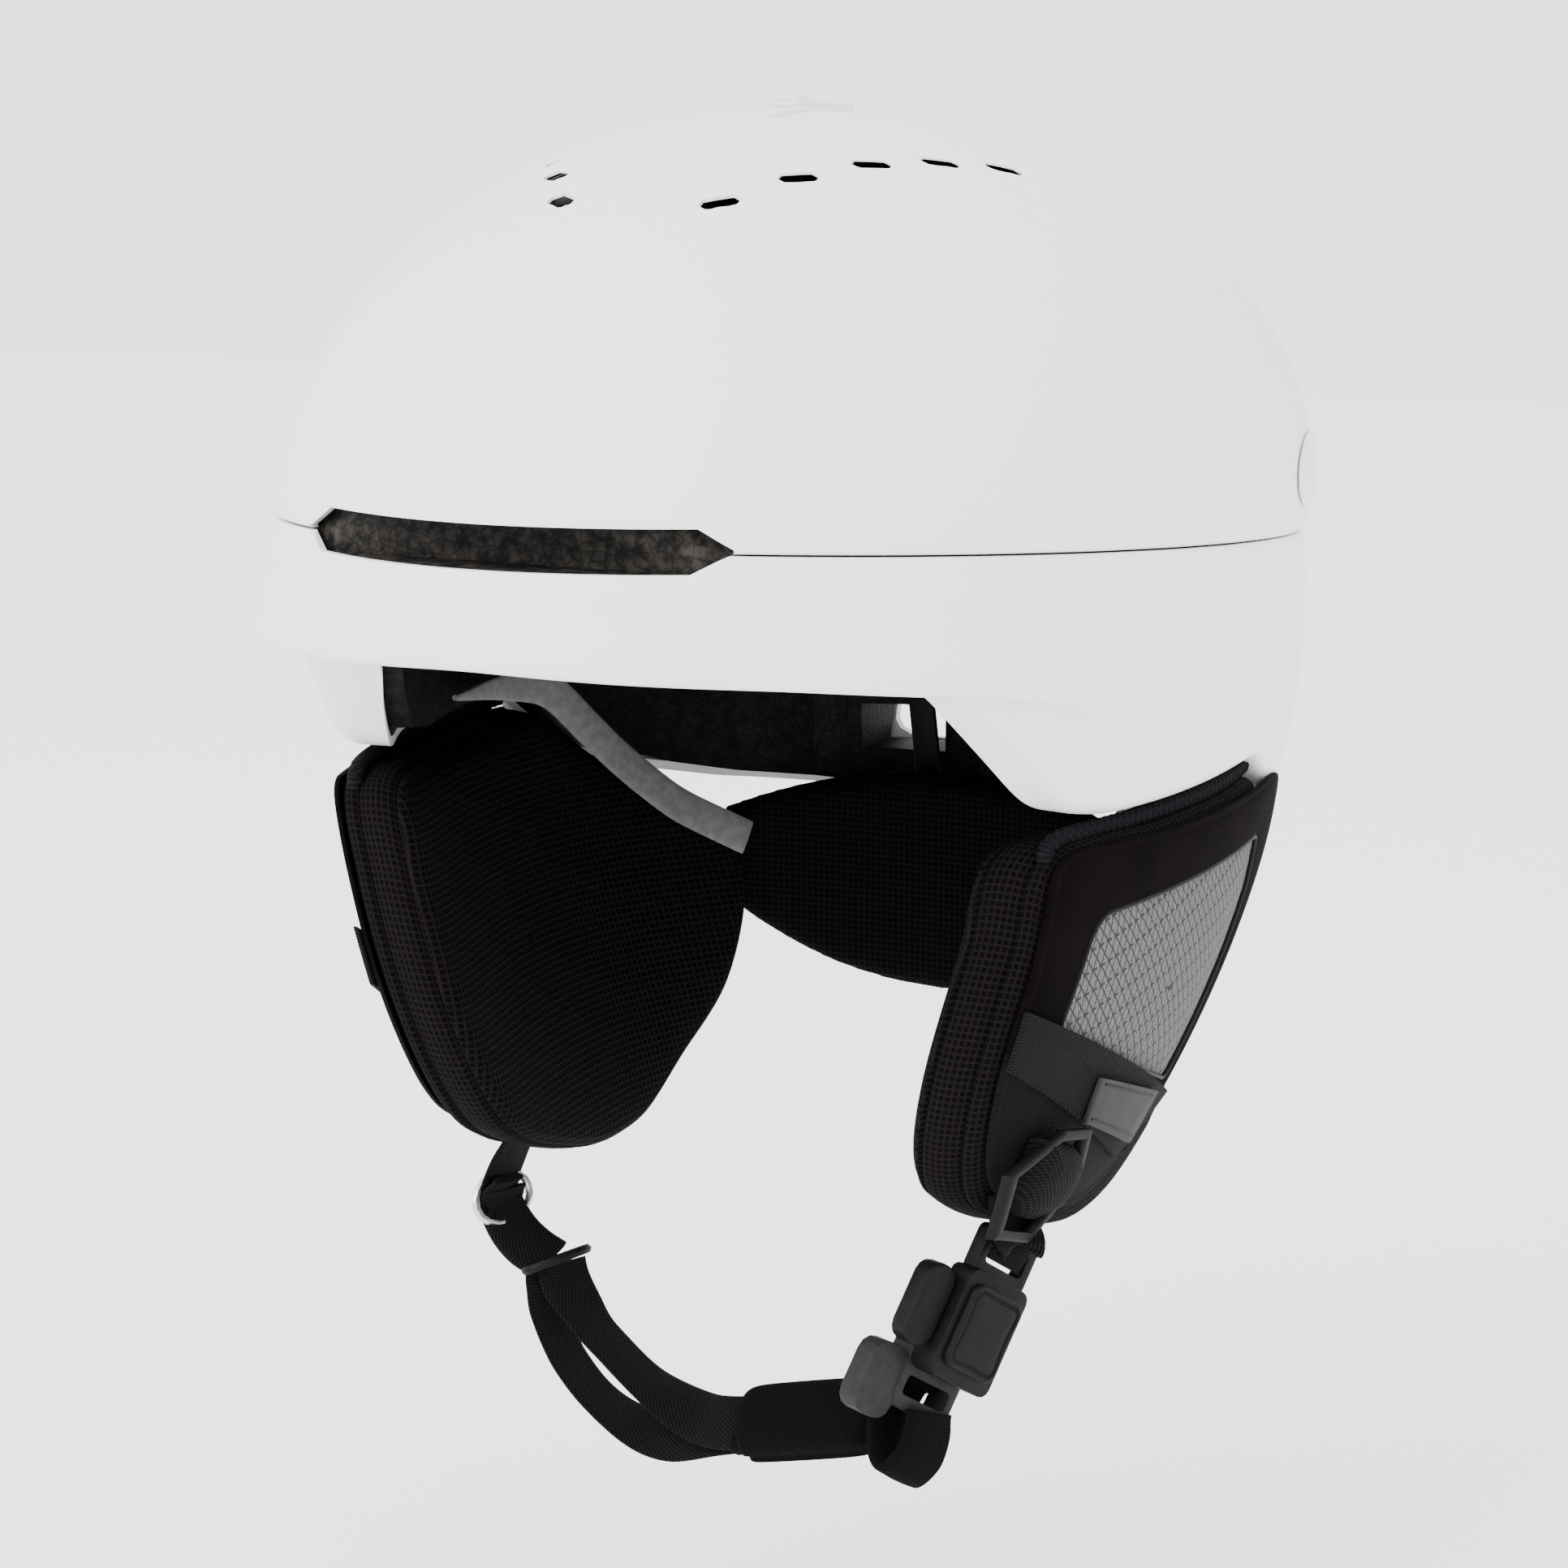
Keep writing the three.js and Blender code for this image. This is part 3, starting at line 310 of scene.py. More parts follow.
def mesh_finish():
    made = Finish("window_mesh", (0.12, 0.12, 0.122), 0.7, Specular_IOR_Level=0.1)
    u, v = made.weave(math.radians(-20))
    row = made.maths("FRACT", made.maths("DIVIDE", v, 5.2))
    cell = made.maths("FRACT", made.maths("DIVIDE", u, 4.3))
    tent = made.maths("ABSOLUTE", made.maths("MULTIPLY_ADD", cell, 2, -1))
    marks = []
    for slope in (tent, made.maths("SUBTRACT", 1, tent)):
        off = made.maths("ABSOLUTE", made.maths("SUBTRACT", row, slope))
        marks.append(made.maths("LESS_THAN", off, 0.075))
    line = made.maths("LESS_THAN", made.maths("ABSOLUTE", made.maths("SUBTRACT", row, 0.5)), 0.06)
    dash = made.maths("GREATER_THAN", made.maths("FRACT", made.maths("DIVIDE", u, 2.15)), 0.3)
    marks.append(made.maths("MULTIPLY", line, dash))
    stroke = made.maths("MAXIMUM", made.maths("MAXIMUM", marks[0], marks[1]), marks[2])
    threads = ridge(made, u, 0.62)
    base = made.ramp(threads, (0.2, (0.075, 0.075, 0.077)), (0.8, (0.125, 0.125, 0.127)))
    mixed = made.node("Mix", None, data_type="RGBA")
    made.put(mixed.inputs[0], made.maths("MULTIPLY", stroke, 0.85))
    made.put(mixed.inputs[6], base)
    made.put(mixed.inputs[7], (0.01, 0.01, 0.0105, 1))
    made.colour(mixed.outputs[2])
    made.bump(threads, 0.5, 0.15)
    made.bump(made.maths("SUBTRACT", 1, stroke), 0.5, 0.15)
    return made.material


def twill_finish(name, dark, light, period, lean, sheen=0.003):
    """Woven webbing: diagonal twill lines broken into short floats."""
    made = Finish(name, dark, 0.75, Sheen_Weight=sheen, Specular_IOR_Level=0.05)
    along, across = made.weave()
    slanted = made.maths("MULTIPLY_ADD", across, lean, along)
    lines = ridge(made, slanted, period)
    floats = ridge(made, across, period * 0.8)
    cloth = made.maths("MULTIPLY_ADD", floats, 0.45, made.maths("MULTIPLY", lines, 0.55))
    made.colour(made.ramp(cloth, (0.25, dark), (0.85, light)))
    made.bump(cloth, 0.9, 0.35)
    made.bump(made.noise(2500, 2), 0.3, 0.08)
    return made.material


def plastic_finish(name, colour, roughness, grain=0.35, gloss=0.2):
    made = Finish(name, colour, roughness, Specular_IOR_Level=gloss)
    spark = made.noise(1300, 3)
    tone = [tuple(c * k for c in colour) for k in (0.85, 1.12)]
    made.colour(made.ramp(made.noise(420, 3), (0.35, tone[0]), (0.65, tone[1])))
    made.roughness(spark, roughness - 0.07, roughness + 0.07)
    made.bump(spark, grain, 0.08)
    return made.material


def rubber_finish():
    made = Finish("label_rubber", (0.03, 0.03, 0.031), 0.6, Specular_IOR_Level=0.06)
    made.colour(made.ramp(made.noise(90, 3), (0.3, (0.027, 0.027, 0.028)), (0.7, (0.033, 0.033, 0.034))))
    made.bump(made.noise(1800, 2), 0.3, 0.05)
    return made.material


def steel_finish():
    made = Finish("steel", (0.55, 0.56, 0.58), 0.3, Metallic=1.0)
    scratch = made.noise(300, 4, made.place((1, 12, 1)))
    made.roughness(scratch, 0.22, 0.42)
    made.bump(scratch, 0.15, 0.03)
    return made.material


FINISH = {
    "shell_white": shell_finish("shell_white", (0.8, 0.8, 0.805), 0.42),
    "tonal_white": shell_finish("tonal_white", (0.74, 0.745, 0.75), 0.25),
    "bead_foam": foam_finish(),
    "knit": knit_finish("knit", (0.0014, 0.0012, 0.0012), (0.0075, 0.006, 0.0056)),
    "knit_inner": knit_finish("knit_inner", (0.0012, 0.0011, 0.0011), (0.004, 0.0038, 0.0038)),
    "sleeve": knit_finish("sleeve", (0.0024, 0.0021, 0.002), (0.0052, 0.0046, 0.0044), 0.7),
    "cover_suede": suede_finish(),
    "nylon": twill_finish("nylon", (0.0022, 0.0022, 0.0025), (0.0042, 0.0042, 0.0048), 0.5, 0.0),
    "mesh": mesh_finish(),
    "webbing": twill_finish("webbing", (0.0014, 0.0014, 0.0016), (0.007, 0.0071, 0.008), 1.0, 0.7),
    "band": twill_finish("band_twill", (0.003, 0.003, 0.003), (0.009, 0.009, 0.0092), 0.85, 1.0),
    # Braid: the twill pattern is real, but its light tone is painted highlight, threads catching light on a
    # shiny black braid.
    "braid": twill_finish("braid", (0.0014, 0.0014, 0.0018), (0.012, 0.0125, 0.016), 0.9, 2.4),
    "label_rubber": rubber_finish(),
    "grey_plastic": plastic_finish("grey_plastic", (0.02, 0.021, 0.022), 0.5),
    "grained_plastic": plastic_finish("grained_plastic", (0.016, 0.0168, 0.0176), 0.6, 0.9, 0.1),
    "light_plastic": plastic_finish("light_plastic", (0.14, 0.14, 0.142), 0.5, 0.1),
    "dark_plastic": plastic_finish("dark_plastic", (0.0045, 0.0046, 0.005), 0.5, 0.35, 0.08),
    "steel": steel_finish(),
}


# ---- mesh helpers ----
def new_object(name, points, faces, weave=None, sharp=40):
    """An object from points in millimetres. weave gives each face corner's weave coordinates."""
    mesh = bpy.data.meshes.new(name)
    mesh.from_pydata((np.asarray(points, float) * MM).tolist(), [], faces)
    mesh.validate()
    layer = mesh.uv_layers.new(name="weave")
    if weave is None:
        box_weave(mesh, layer)
    else:
        layer.data.foreach_set("uv", np.asarray(weave, float).ravel())
    mesh.update()
    smooth_faces(mesh, sharp)
    made = bpy.data.objects.new(name, mesh)
    bpy.context.collection.objects.link(made)
    return made


def smooth_faces(mesh, sharp):
    mesh.polygons.foreach_set("use_smooth", [True] * len(mesh.polygons))
    mesh.set_sharp_from_angle(angle=math.radians(sharp))


def box_weave(mesh, layer):
    """Weave coordinates of each face are its places along the two axes it faces least."""
    points = np.array([v.co for v in mesh.vertices]) / MM
    values = np.zeros((len(mesh.loops), 2))
    for face in mesh.polygons:
        normal = [abs(v) for v in face.normal]
        axes = [(1, 2), (0, 2), (0, 1)][normal.index(max(normal))]
        for loop in face.loop_indices:
            values[loop] = points[mesh.loops[loop].vertex_index][list(axes)]
    layer.data.foreach_set("uv", values.ravel())


def grid_object(name, rows, closed_rows=False, closed_columns=True, caps=False, weave=None, sharp=40):
    """An object from rows of points. weave is the pair of coordinate lists along rows and columns."""
    rows = np.asarray(rows, float)
    count, width = rows.shape[:2]
    faces = []
    corners = []
    row_ends = count if closed_rows else count - 1
    column_ends = width if closed_columns else width - 1
    for i in range(row_ends):
        below = (i + 1) % count
        for j in range(column_ends):
            beside = (j + 1) % width
            faces.append((i * width + j, i * width + beside, below * width + beside, below * width + j))
            if weave:
                v, u = weave
                corners += [(u[j], v[i]), (u[j + 1], v[i]), (u[j + 1], v[i + 1]), (u[j], v[i + 1])]
    points = rows.reshape(-1, 3)
    if caps:
        points = closed_ends(points, faces, corners, width, (0, 0))
    return facing_out(new_object(name, points, faces, corners if weave else None, sharp))


def closed_ends(points, faces, corners, width, corner):
    """Adds a fan of faces over the first ring and the last, each round a new middle point."""
    for start, turned_over in ((0, True), (len(points) - width, False)):
        ring = list(range(start, start + width))
        points = np.vstack([points, points[ring].mean(0)])
        for j in range(width):
            pair = (ring[j], ring[(j + 1) % width])
            faces.append((*(pair[::-1] if turned_over else pair), len(points) - 1))
            corners.extend([corner] * 3)
    return points


def facing_out(obj):
    """Turns a closed mesh's faces outward if they point in."""
    mesh = obj.data
    volume = 0.0
    points = np.array([v.co for v in mesh.vertices])
    for face in mesh.polygons:
        ids = list(face.vertices)
        for k in range(1, len(ids) - 1):
            a, b, c = points[ids[0]], points[ids[k]], points[ids[k + 1]]
            volume += float(np.dot(a, np.cross(b, c)))
    if volume < 0:
        mesh.flip_normals()
    return obj


def with_modifier(obj, kind, **settings):
    """Adds a modifier and applies it."""
    modifier = obj.modifiers.new(kind.lower(), kind)
    for key, value in settings.items():
        setattr(modifier, key, value)
    graph = bpy.context.evaluated_depsgraph_get()
    result = bpy.data.meshes.new_from_object(obj.evaluated_get(graph), depsgraph=graph)
    obj.modifiers.remove(modifier)
    old = obj.data
    obj.data = result
    bpy.data.meshes.remove(old)
    return obj


def cut_away(obj, tool, sharp=35):
    """Cuts a tool object out of a closed one, and removes the tool."""
    with_modifier(obj, "BOOLEAN", object=tool, operation="DIFFERENCE", solver="MANIFOLD")
    bpy.data.objects.remove(tool)
    smooth_faces(obj.data, sharp)
    return obj


def prisms(outlines, low, high, place):
    """One object of straight prisms. place turns (u, v, height) into a point."""
    points = []
    faces = []
    for outline in outlines:
        start = len(points)
        count = len(outline)
        for height in (low, high):
            points += [place(u, v, height) for u, v in outline]
        faces.append([start + i for i in range(count)][::-1])
        faces.append([start + count + i for i in range(count)])
        for i in range(count):
            j = (i + 1) % count
            faces.append([start + i, start + j, start + count + j, start + count + i])
    made = new_object("tool", points, faces)
    return facing_out(made)


def finished(obj, finish, body, *nodes, slot=None):
    """Gives a piece its material and body, and hides the CAD nodes it stands for."""
    obj.data.materials.clear()
    obj.data.materials.append(FINISH[finish])
    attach(obj, body)
    if nodes:
        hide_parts(*nodes)
    return obj


def chaikin(points, rounds):
    """Rounds a line's corners, keeping its ends."""
    points = np.asarray(points, float)
    for _ in range(rounds):
        near = 0.75 * points[:-1] + 0.25 * points[1:]
        far = 0.25 * points[:-1] + 0.75 * points[1:]
        cut = np.stack([near, far], 1).reshape(-1, points.shape[1])
        points = np.vstack([points[:1], cut, points[-1:]])
    return points


def softened_corners(outline, radius):
    """A closed outline with every corner rounded."""
    points = []
    for before, corner, after in zip(outline[-1:] + outline[:-1], outline, outline[1:] + outline[:1]):
        before, corner, after = (np.array(p, float) for p in (before, corner, after))
        ends = []
        for other in (before, after):
            way = other - corner
            reach = np.linalg.norm(way)
            ends.append(corner + way / reach * min(radius, reach * 0.45))
        for t in np.linspace(0, 1, 6):
            points.append((1 - t) ** 2 * ends[0] + 2 * t * (1 - t) * corner + t * t * ends[1])
    return np.array(points)


def running_length(points):
    return np.concatenate([[0], np.cumsum(np.linalg.norm(np.diff(points, axis=0), axis=1))])


def resample(points, count, closed=False):
    """Evenly spaced points along a line."""
    points = np.asarray(points, float)
    if closed:
        points = np.vstack([points, points[:1]])
    run = running_length(points)
    stops = np.linspace(0, run[-1], count, endpoint=not closed)
    return np.stack([np.interp(stops, run, points[:, k]) for k in range(points.shape[1])], -1)


def spline(points, count, closed=False):
    """Catmull-Rom curve through points, evenly spaced."""
    points = np.asarray(points, float)
    if closed:
        padded = np.vstack([points[-1:], points, points[:2]])
    else:
        padded = np.vstack([2 * points[:1] - points[1:2], points, 2 * points[-1:] - points[-2:-1]])
    t = np.linspace(0, 1, 16, endpoint=False)[:, None]
    pieces = []
    for i in range(1, len(padded) - 2):
        a, b, c, d = padded[i - 1 : i + 3]
        pieces.append(
            0.5 * (2 * b + (c - a) * t + (2 * a - 5 * b + 4 * c - d) * t**2
                   + (3 * b - a - 3 * c + d) * t**3)
        )
    line = np.vstack(pieces)
    if not closed:
        line = np.vstack([line, points[-1:]])
    return resample(line, count, closed)


# ---- the shell's surface ----
def fullness(share, start):
    height = start + (1 - start) * share
    return np.sqrt(np.clip(1 - height**2, 0, 1)) / math.sqrt(1 - start**2)


def dome_point(degrees, share, inset=0.0):
    angle = np.radians(degrees)
    front = (SHELL_FRONT - inset) * fullness(share, FULL_FRONT)
    back = (SHELL_BACK - inset) * fullness(share, FULL_BACK)
    side = fullness(share, FULL_SIDE)
    x = (SHELL_HALF_WIDTH - inset) * side * np.sin(angle)
    y = -(front + back) / 2 * np.cos(angle) + EGG * side * np.sin(angle) ** 2 + (back - front) / 2
    z = SEAM_HEIGHT + (SHELL_RISE - inset) * share - SEAM_TILT * y * (1 - share)
    return np.stack(np.broadcast_arrays(x, y, z), -1)


COLUMNS = 540
ANGLES = np.arange(COLUMNS) * 360 / COLUMNS
HALF_ANGLE = np.where(ANGLES > 180, 360 - ANGLES, ANGLES)


def eased(table, softness=1.6):
    """A table's values round the shell, with its corners softened."""
    values = np.interp(HALF_ANGLE, *np.array(table, float).T)
    reach = np.arange(-12, 13) * 360 / COLUMNS
    weight = np.exp(-0.5 * (reach / softness) ** 2)
    return sum(w * np.roll(values, k - 12) for k, w in enumerate(weight)) / weight.sum()


def seam_frame():
    """Seam points and outward directions round the shell."""
    at = dome_point(ANGLES, 0.0)
    along = dome_point(ANGLES + 0.5, 0.0) - dome_point(ANGLES - 0.5, 0.0)
    run = np.hypot(along[:, 0], along[:, 1])
    out = np.stack([along[:, 1] / run, -along[:, 0] / run], -1)
    return at, out


def slot_outline(grow=0.0):
    tall = SLOT_HEIGHT + grow
    half = SLOT_HALF + grow
    return [
        (-half, SLOT_LEVEL), (-SLOT_SHOULDER, SLOT_LEVEL - tall), (SLOT_SHOULDER, SLOT_LEVEL - tall),
        (half, SLOT_LEVEL), (SLOT_SHOULDER, SLOT_LEVEL + tall), (-SLOT_SHOULDER, SLOT_LEVEL + tall),
    ]


def outline_distance(u, v, outline):
    """Distance to an outline, negative inside it."""
    best = np.full(u.shape, 1e9)
    inside = np.zeros(u.shape, bool)
    for (x0, y0), (x1, y1) in zip(outline, outline[1:] + outline[:1]):
        dx, dy = x1 - x0, y1 - y0
        t = np.clip(((u - x0) * dx + (v - y0) * dy) / (dx * dx + dy * dy), 0, 1)
        best = np.minimum(best, np.hypot(u - x0 - t * dx, v - y0 - t * dy))
        crosses = (y0 > v) != (y1 > v)
        with np.errstate(divide="ignore", invalid="ignore"):
            inside ^= crosses & (u < (x1 - x0) * (v - y0) / (y1 - y0) + x0)
    return np.where(inside, -best, best)


def slit_outline(grow=0.0):
    a, b, c = SLIT_HALF + grow, SLIT_SHOULDER + grow * 0.6, SLIT_DEPTH + grow
    return [(-a, 0), (-b, -c), (b, -c), (a, 0), (b, c), (-b, c)]


def slit_turn(x, y):
    return math.copysign(SLIT_TURN, x) + 0.2 * math.atan2(x, -y)


def turned(outline, x, y, angle):
    c, s = math.cos(angle), math.sin(angle)
    return [(x + u * c - v * s, y + u * s + v * c) for u, v in outline]


SLITS = [(side * x, y) for x, y in SLIT_PLACES for side in (1, -1)]


def recess_places():
    """Shallow recesses in rows beside the slits, on both sides."""
    run = np.array(SLIT_PLACES, float)
    step = (run[-1] - run[0]) / 4
    places = []
    for row in (-2, -1, 1, 2):
        for k in range(-1, 6):
            x, y = run[0] + step * k + np.array(RECESS_STEP) * row
            if x > RECESS_INSIDE and y > RECESS_FRONT:
                places += [(x, y), (-x, y)]
    return places


def lowered(points, outward):
    """Presses the recesses, the slits' soft edges and the slot's lip into outer points."""
    x, y, z = np.moveaxis(points, -1, 0)
    depth = np.zeros(x.shape)
    crown = z > 70
    for places, grow, soft, deep in ((SLITS, 0.0, 1.3, 0.55), (recess_places(), -0.2, -1.3, 0.45)):
        for px, py in places:
            near = crown & (np.hypot(x - px, y - py) < 9)
            if not near.any():
                continue
            outline = turned(slit_outline(grow), px, py, slit_turn(px, py))
            away = outline_distance(x[near], y[near], outline)
            fall = np.clip(1 - np.maximum(away, 0) / soft, 0, 1) if soft > 0 else np.clip(away / soft, 0, 1)
            depth[near] = np.maximum(depth[near], deep * fall * fall * (3 - 2 * fall))
    front = (y < -95) & (np.abs(z - SLOT_LEVEL) < 12)
    away = outline_distance(x[front], z[front], slot_outline())
    fall = np.clip(1 - np.maximum(away, 0) / SLOT_LIP_WIDTH, 0, 1)
    depth[front] = np.maximum(depth[front], SLOT_LIP_DEPTH * fall**2)
    return points - outward * depth[..., None]


def outward_of(rows):
    """Unit directions out of a grid of points round the shell."""
    across = np.roll(rows, -1, 1) - np.roll(rows, 1, 1)
    down = np.gradient(rows, axis=0)
    normal = np.cross(down, across)
    length = np.linalg.norm(normal, axis=-1, keepdims=True)
    normal /= np.maximum(length, 1e-9)
    mean = rows.reshape(-1, 3).mean(0)
    if ((rows - mean) * normal).sum() < 0:
        normal = -normal
    return normal


def front_prism(outline, y0, y1):
    return prisms([outline], y0, y1, lambda u, v, y: (u, y, v))


def upper_shell():
    steps = np.linspace(0.004, 1, 150)
    shares = np.sin(np.pi / 2 * (1 - steps))
    outer = np.stack([dome_point(ANGLES, s) for s in shares])
    outer = outer[np.concatenate([[True], np.diff(shares) < -1e-9])]
    lift = np.array([0, 0, GAP / 2])
    outer = lowered(outer, outward_of(outer))
    outer[-1] += lift * 5
    rim = []
    at, out = seam_frame()
    for inset, rise in ((0.12, 0.55), (0.4, 0.2), (0.9, 0.0), (SHELL_THICK, 0.0)):
        ring = at + lift + [0, 0, rise]
        ring[:, :2] -= out * inset
        rim.append(ring)
    inner = [dome_point(ANGLES, s, SHELL_THICK - CROWN_THINNING * min(1, max(0, 3 * s - 1.6)))
             for s in np.sin(np.pi / 2 * np.linspace(0.04, 0.995, 22))]
    rows = np.concatenate([outer, np.stack(rim), np.stack(inner)])
    shell = grid_object("shell_upper", rows, caps=True)
    outlines = [turned(slit_outline(), x, y, slit_turn(x, y)) for x, y in SLITS]
    outlines.append(SLIDE_SLOT)
    cut_away(shell, prisms(outlines, 60, 135, lambda u, v, z: (u, v, z)))
    cut_away(shell, front_prism(slot_outline(), *FRONT_CUT))
    return finished(shell, "shell_white", "helmet", "upper_shell", slot="shell_white")


def lower_sections():
    """Outer and inner section lines at every angle, as [distance out from the seam, height]."""
    seam = dome_point(ANGLES, 0.0)[:, 2] - GAP / 2
    lip = eased(LIP_HEIGHT, 4)
    edge = eased(EDGE_HEIGHT)
    inset = eased(EDGE_INSET)
    reach = eased(RIM_REACH)
    share = eased(LEDGE_SHARE, 3)
    proud = eased(SEAM_STEP, 3)
    outers = []
    inners = []
    for i in range(COLUMNS):
        step = min(LEDGE, inset[i] - 2)
        low = lip[i] - 0.4
        brim = np.array([
            [0, seam[i]],
            [BRIM_FLARE * 0.3, seam[i] + (lip[i] - seam[i]) * 0.25],
            [BRIM_FLARE * 0.55, (seam[i] + lip[i]) / 2],
            [BRIM_FLARE, lip[i] + 2.6],
            [BRIM_FLARE - 1.6, lip[i]],
            [-step, low],
            [-(step + (inset[i] - step) * 0.15), (low + edge[i]) / 2],
            [-inset[i], edge[i] + 0.3],
            [-reach[i], edge[i]],
        ])
        s = np.array([0, 0.15, 0.32, 0.52, 0.64, 0.75, 0.86, 0.97, 1])
        side = np.stack([SIDE_BULGE * np.sin(math.pi * s) - inset[i] * s**SIDE_CURVE,
                         seam[i] + (edge[i] - seam[i]) * s], -1)
        side[-1] = [-reach[i], edge[i]]
        side[-2, 1] = edge[i] + 0.6
        line = side + (brim - side) * share[i]
        line[:3, 0] += proud[i] * np.array([1, 0.7, 0.3])
        top = [line[0] - [0.9, 0], line[0] - [0, 0.9]]
        outer = np.vstack([top, line[1:]])
        tangent = np.gradient(line, axis=0)
        square = np.stack([-tangent[:, 1], tangent[:, 0]], -1)
        square /= np.linalg.norm(square, axis=1, keepdims=True)
        square[0] = [1, 0]
        inner = line - square * SHELL_THICK
        outers.append(chaikin(outer, 3))
        inners.append(chaikin(inner[::-1], 1))
    return np.stack(outers, 1), np.stack(inners, 1)


def lower_shell():
    at, out = seam_frame()

    def placed(section):
        flat = at[None, :, :2] + out[None] * section[..., :1]
        return np.concatenate([flat, section[..., 1:]], -1)

    outer, inner = lower_sections()
    outer = placed(outer)
    outer = lowered(outer, outward_of(outer))
    rows = np.concatenate([outer, placed(inner)])
    shell = grid_object("shell_lower", rows, closed_rows=True)
    cut_away(shell, front_prism(slot_outline(), *FRONT_CUT))
    for side in (-1, 1):
        middle = side * REAR_VENT_MIDDLE
        left, right = middle - REAR_VENT_HALF, middle + REAR_VENT_HALF
        top, bottom = REAR_VENT_TOP, REAR_VENT_BOTTOM
        window = chaikin([(middle, top), (left, top), (left, bottom), (right, bottom), (right, top),
                          (middle, top)], 2)[:-1]
        cut_away(shell, front_prism([tuple(p) for p in window], *REAR_CUT))
    return finished(shell, "shell_white", "helmet", "lower_shell", slot="shell_white")


# ---- pieces made by rings round a centre ----
def polar(outline, centre, angles):
    """How far an outline lies from a centre, in each direction."""
    starts = np.array(outline, float) - centre
    c, s = np.cos(angles), np.sin(angles)
    best = np.zeros(len(angles))
    for (ax, ay), (bx, by) in zip(starts, np.roll(starts, -1, 0)):
        ex, ey = bx - ax, by - ay
        turn = ex * s - ey * c
        turn = np.where(np.abs(turn) < 1e-12, 1e-12, turn)
        share = (ay * c - ax * s) / turn
        run = ax * c + ay * s + share * (ex * c + ey * s)
        hit = (share > -1e-6) & (share < 1 + 1e-6) & (run > 0)
        best = np.where(hit, np.maximum(best, run), best)
    return best


def slab(name, outline, profile, place, centre=None, hole=None, rays=240, walls=(), sharp=40):
    """A solid of rings. profile lists [share from hole to edge, growth, height] round the section."""
    outline = np.array(outline, float)
    centre = outline.mean(0) if centre is None else np.array(centre, float)
    corners = np.arctan2(*(outline - centre).T[::-1]) % (2 * math.pi)
    angles = np.unique(np.round(np.concatenate([np.arange(rays) * 2 * math.pi / rays, corners]), 5))
    edge = polar(outline, centre, angles)
    start = polar(hole, centre, angles) if hole is not None else np.zeros(len(angles))
    rows = []
    weave = []
    arc = None
    for share, grow, height in profile:
        radius = start + (edge - start) * share + grow
        flat = centre + radius[:, None] * np.stack([np.cos(angles), np.sin(angles)], -1)
        rows.append(place(flat[:, 0], flat[:, 1], np.full(len(angles), float(height))))
        weave.append(flat)
        if share == 1 and arc is None:
            steps = np.linalg.norm(np.roll(flat, -1, 0) - flat, axis=1)
            arc = np.concatenate([[0], np.cumsum(steps)])
    rows = np.stack(rows)
    run = np.linalg.norm(np.diff(rows, axis=0, append=rows[:1]), axis=-1).mean(1)
    climb = np.concatenate([[0], np.cumsum(run)])
    count = len(rows)
    width = len(angles)
    points = rows.reshape(-1, 3)
    faces = []
    corner_list = []
    for i in range(count if hole is not None else count - 1):
        below = (i + 1) % count
        for j in range(width):
            beside = (j + 1) % width
            faces.append((i * width + j, i * width + beside, below * width + beside, below * width + j))
            if i in walls:
                corner_list += [(arc[j], climb[i]), (arc[j + 1], climb[i]),
                                (arc[j + 1], climb[i + 1]), (arc[j], climb[i + 1])]
            else:
                corner_list += [weave[i][j], weave[i][beside], weave[below][beside], weave[below][j]]
    if hole is None:
        points = closed_ends(points, faces, corner_list, width, tuple(centre))
    return facing_out(new_object(name, points, faces, corner_list, sharp))


def flat_slab(name, outline, low, high, place, round_by=0.4, **options):
    """A plate with rounded edges."""
    r = round_by
    profile = [(0.05, 0, low), (0.6, 0, low), (1, -r, low), (1, -0.3 * r, low + 0.3 * r), (1, 0, low + r),
               (1, 0, high - r), (1, -0.3 * r, high - 0.3 * r), (1, -r, high), (0.6, 0, high),
               (0.05, 0, high)]
    if options.get("hole") is not None:
        inner = [(0, r, high), (0, 0.3 * r, high - 0.3 * r), (0, 0, high - r), (0, 0, low + r),
                 (0, 0.3 * r, low + 0.3 * r), (0, r, low)]
        profile = profile[2:8] + inner
    return slab(name, outline, profile, place, **options)


# ---- copies of the frame's hard pieces, with softened edges ----
def world_copy(node, name):
    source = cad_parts[node]
    mesh = source.data.copy()
    mesh.transform(source.matrix_world)
    mesh.name = name
    mesh.materials.clear()
    made = bpy.data.objects.new(name, mesh)
    bpy.context.collection.objects.link(made)
    with_modifier(made, "WELD", merge_threshold=0.00002)
    return made


def add_weave(obj):
    layer = obj.data.uv_layers.get("weave") or obj.data.uv_layers.new(name="weave")
    box_weave(obj.data, layer)


def refined(node, finish, width=0.45, body="helmet", segments=3):
    made = world_copy(node, node + "_fine")
    with_modifier(made, "DECIMATE", decimate_type="DISSOLVE", angle_limit=math.radians(1.5))
    with_modifier(made, "BEVEL", width=width * MM, segments=segments, limit_method="ANGLE",
                  angle_limit=math.radians(28), use_clamp_overlap=True)
    add_weave(made)
    smooth_faces(made.data, 35)
    return finished(made, finish, body, node)


def softened(node, finish, body="helmet", voxel=1.5, passes=10, swell=0.5):
    """A cushion: the frame's solid, rounded off and a little uneven."""
    made = world_copy(node, node + "_soft")
    with_modifier(made, "REMESH", mode="VOXEL", voxel_size=voxel * MM)
    with_modifier(made, "SMOOTH", factor=0.5, iterations=passes)
    cloud = bpy.data.textures.new(node + "_cloud", "CLOUDS")
    cloud.noise_scale = 0.02
    with_modifier(made, "DISPLACE", texture=cloud, texture_coords="GLOBAL", strength=swell * MM,
                  mid_level=0.35)
    add_weave(made)
    smooth_faces(made.data, 180)
    finished(made, finish, body, node)
    return made


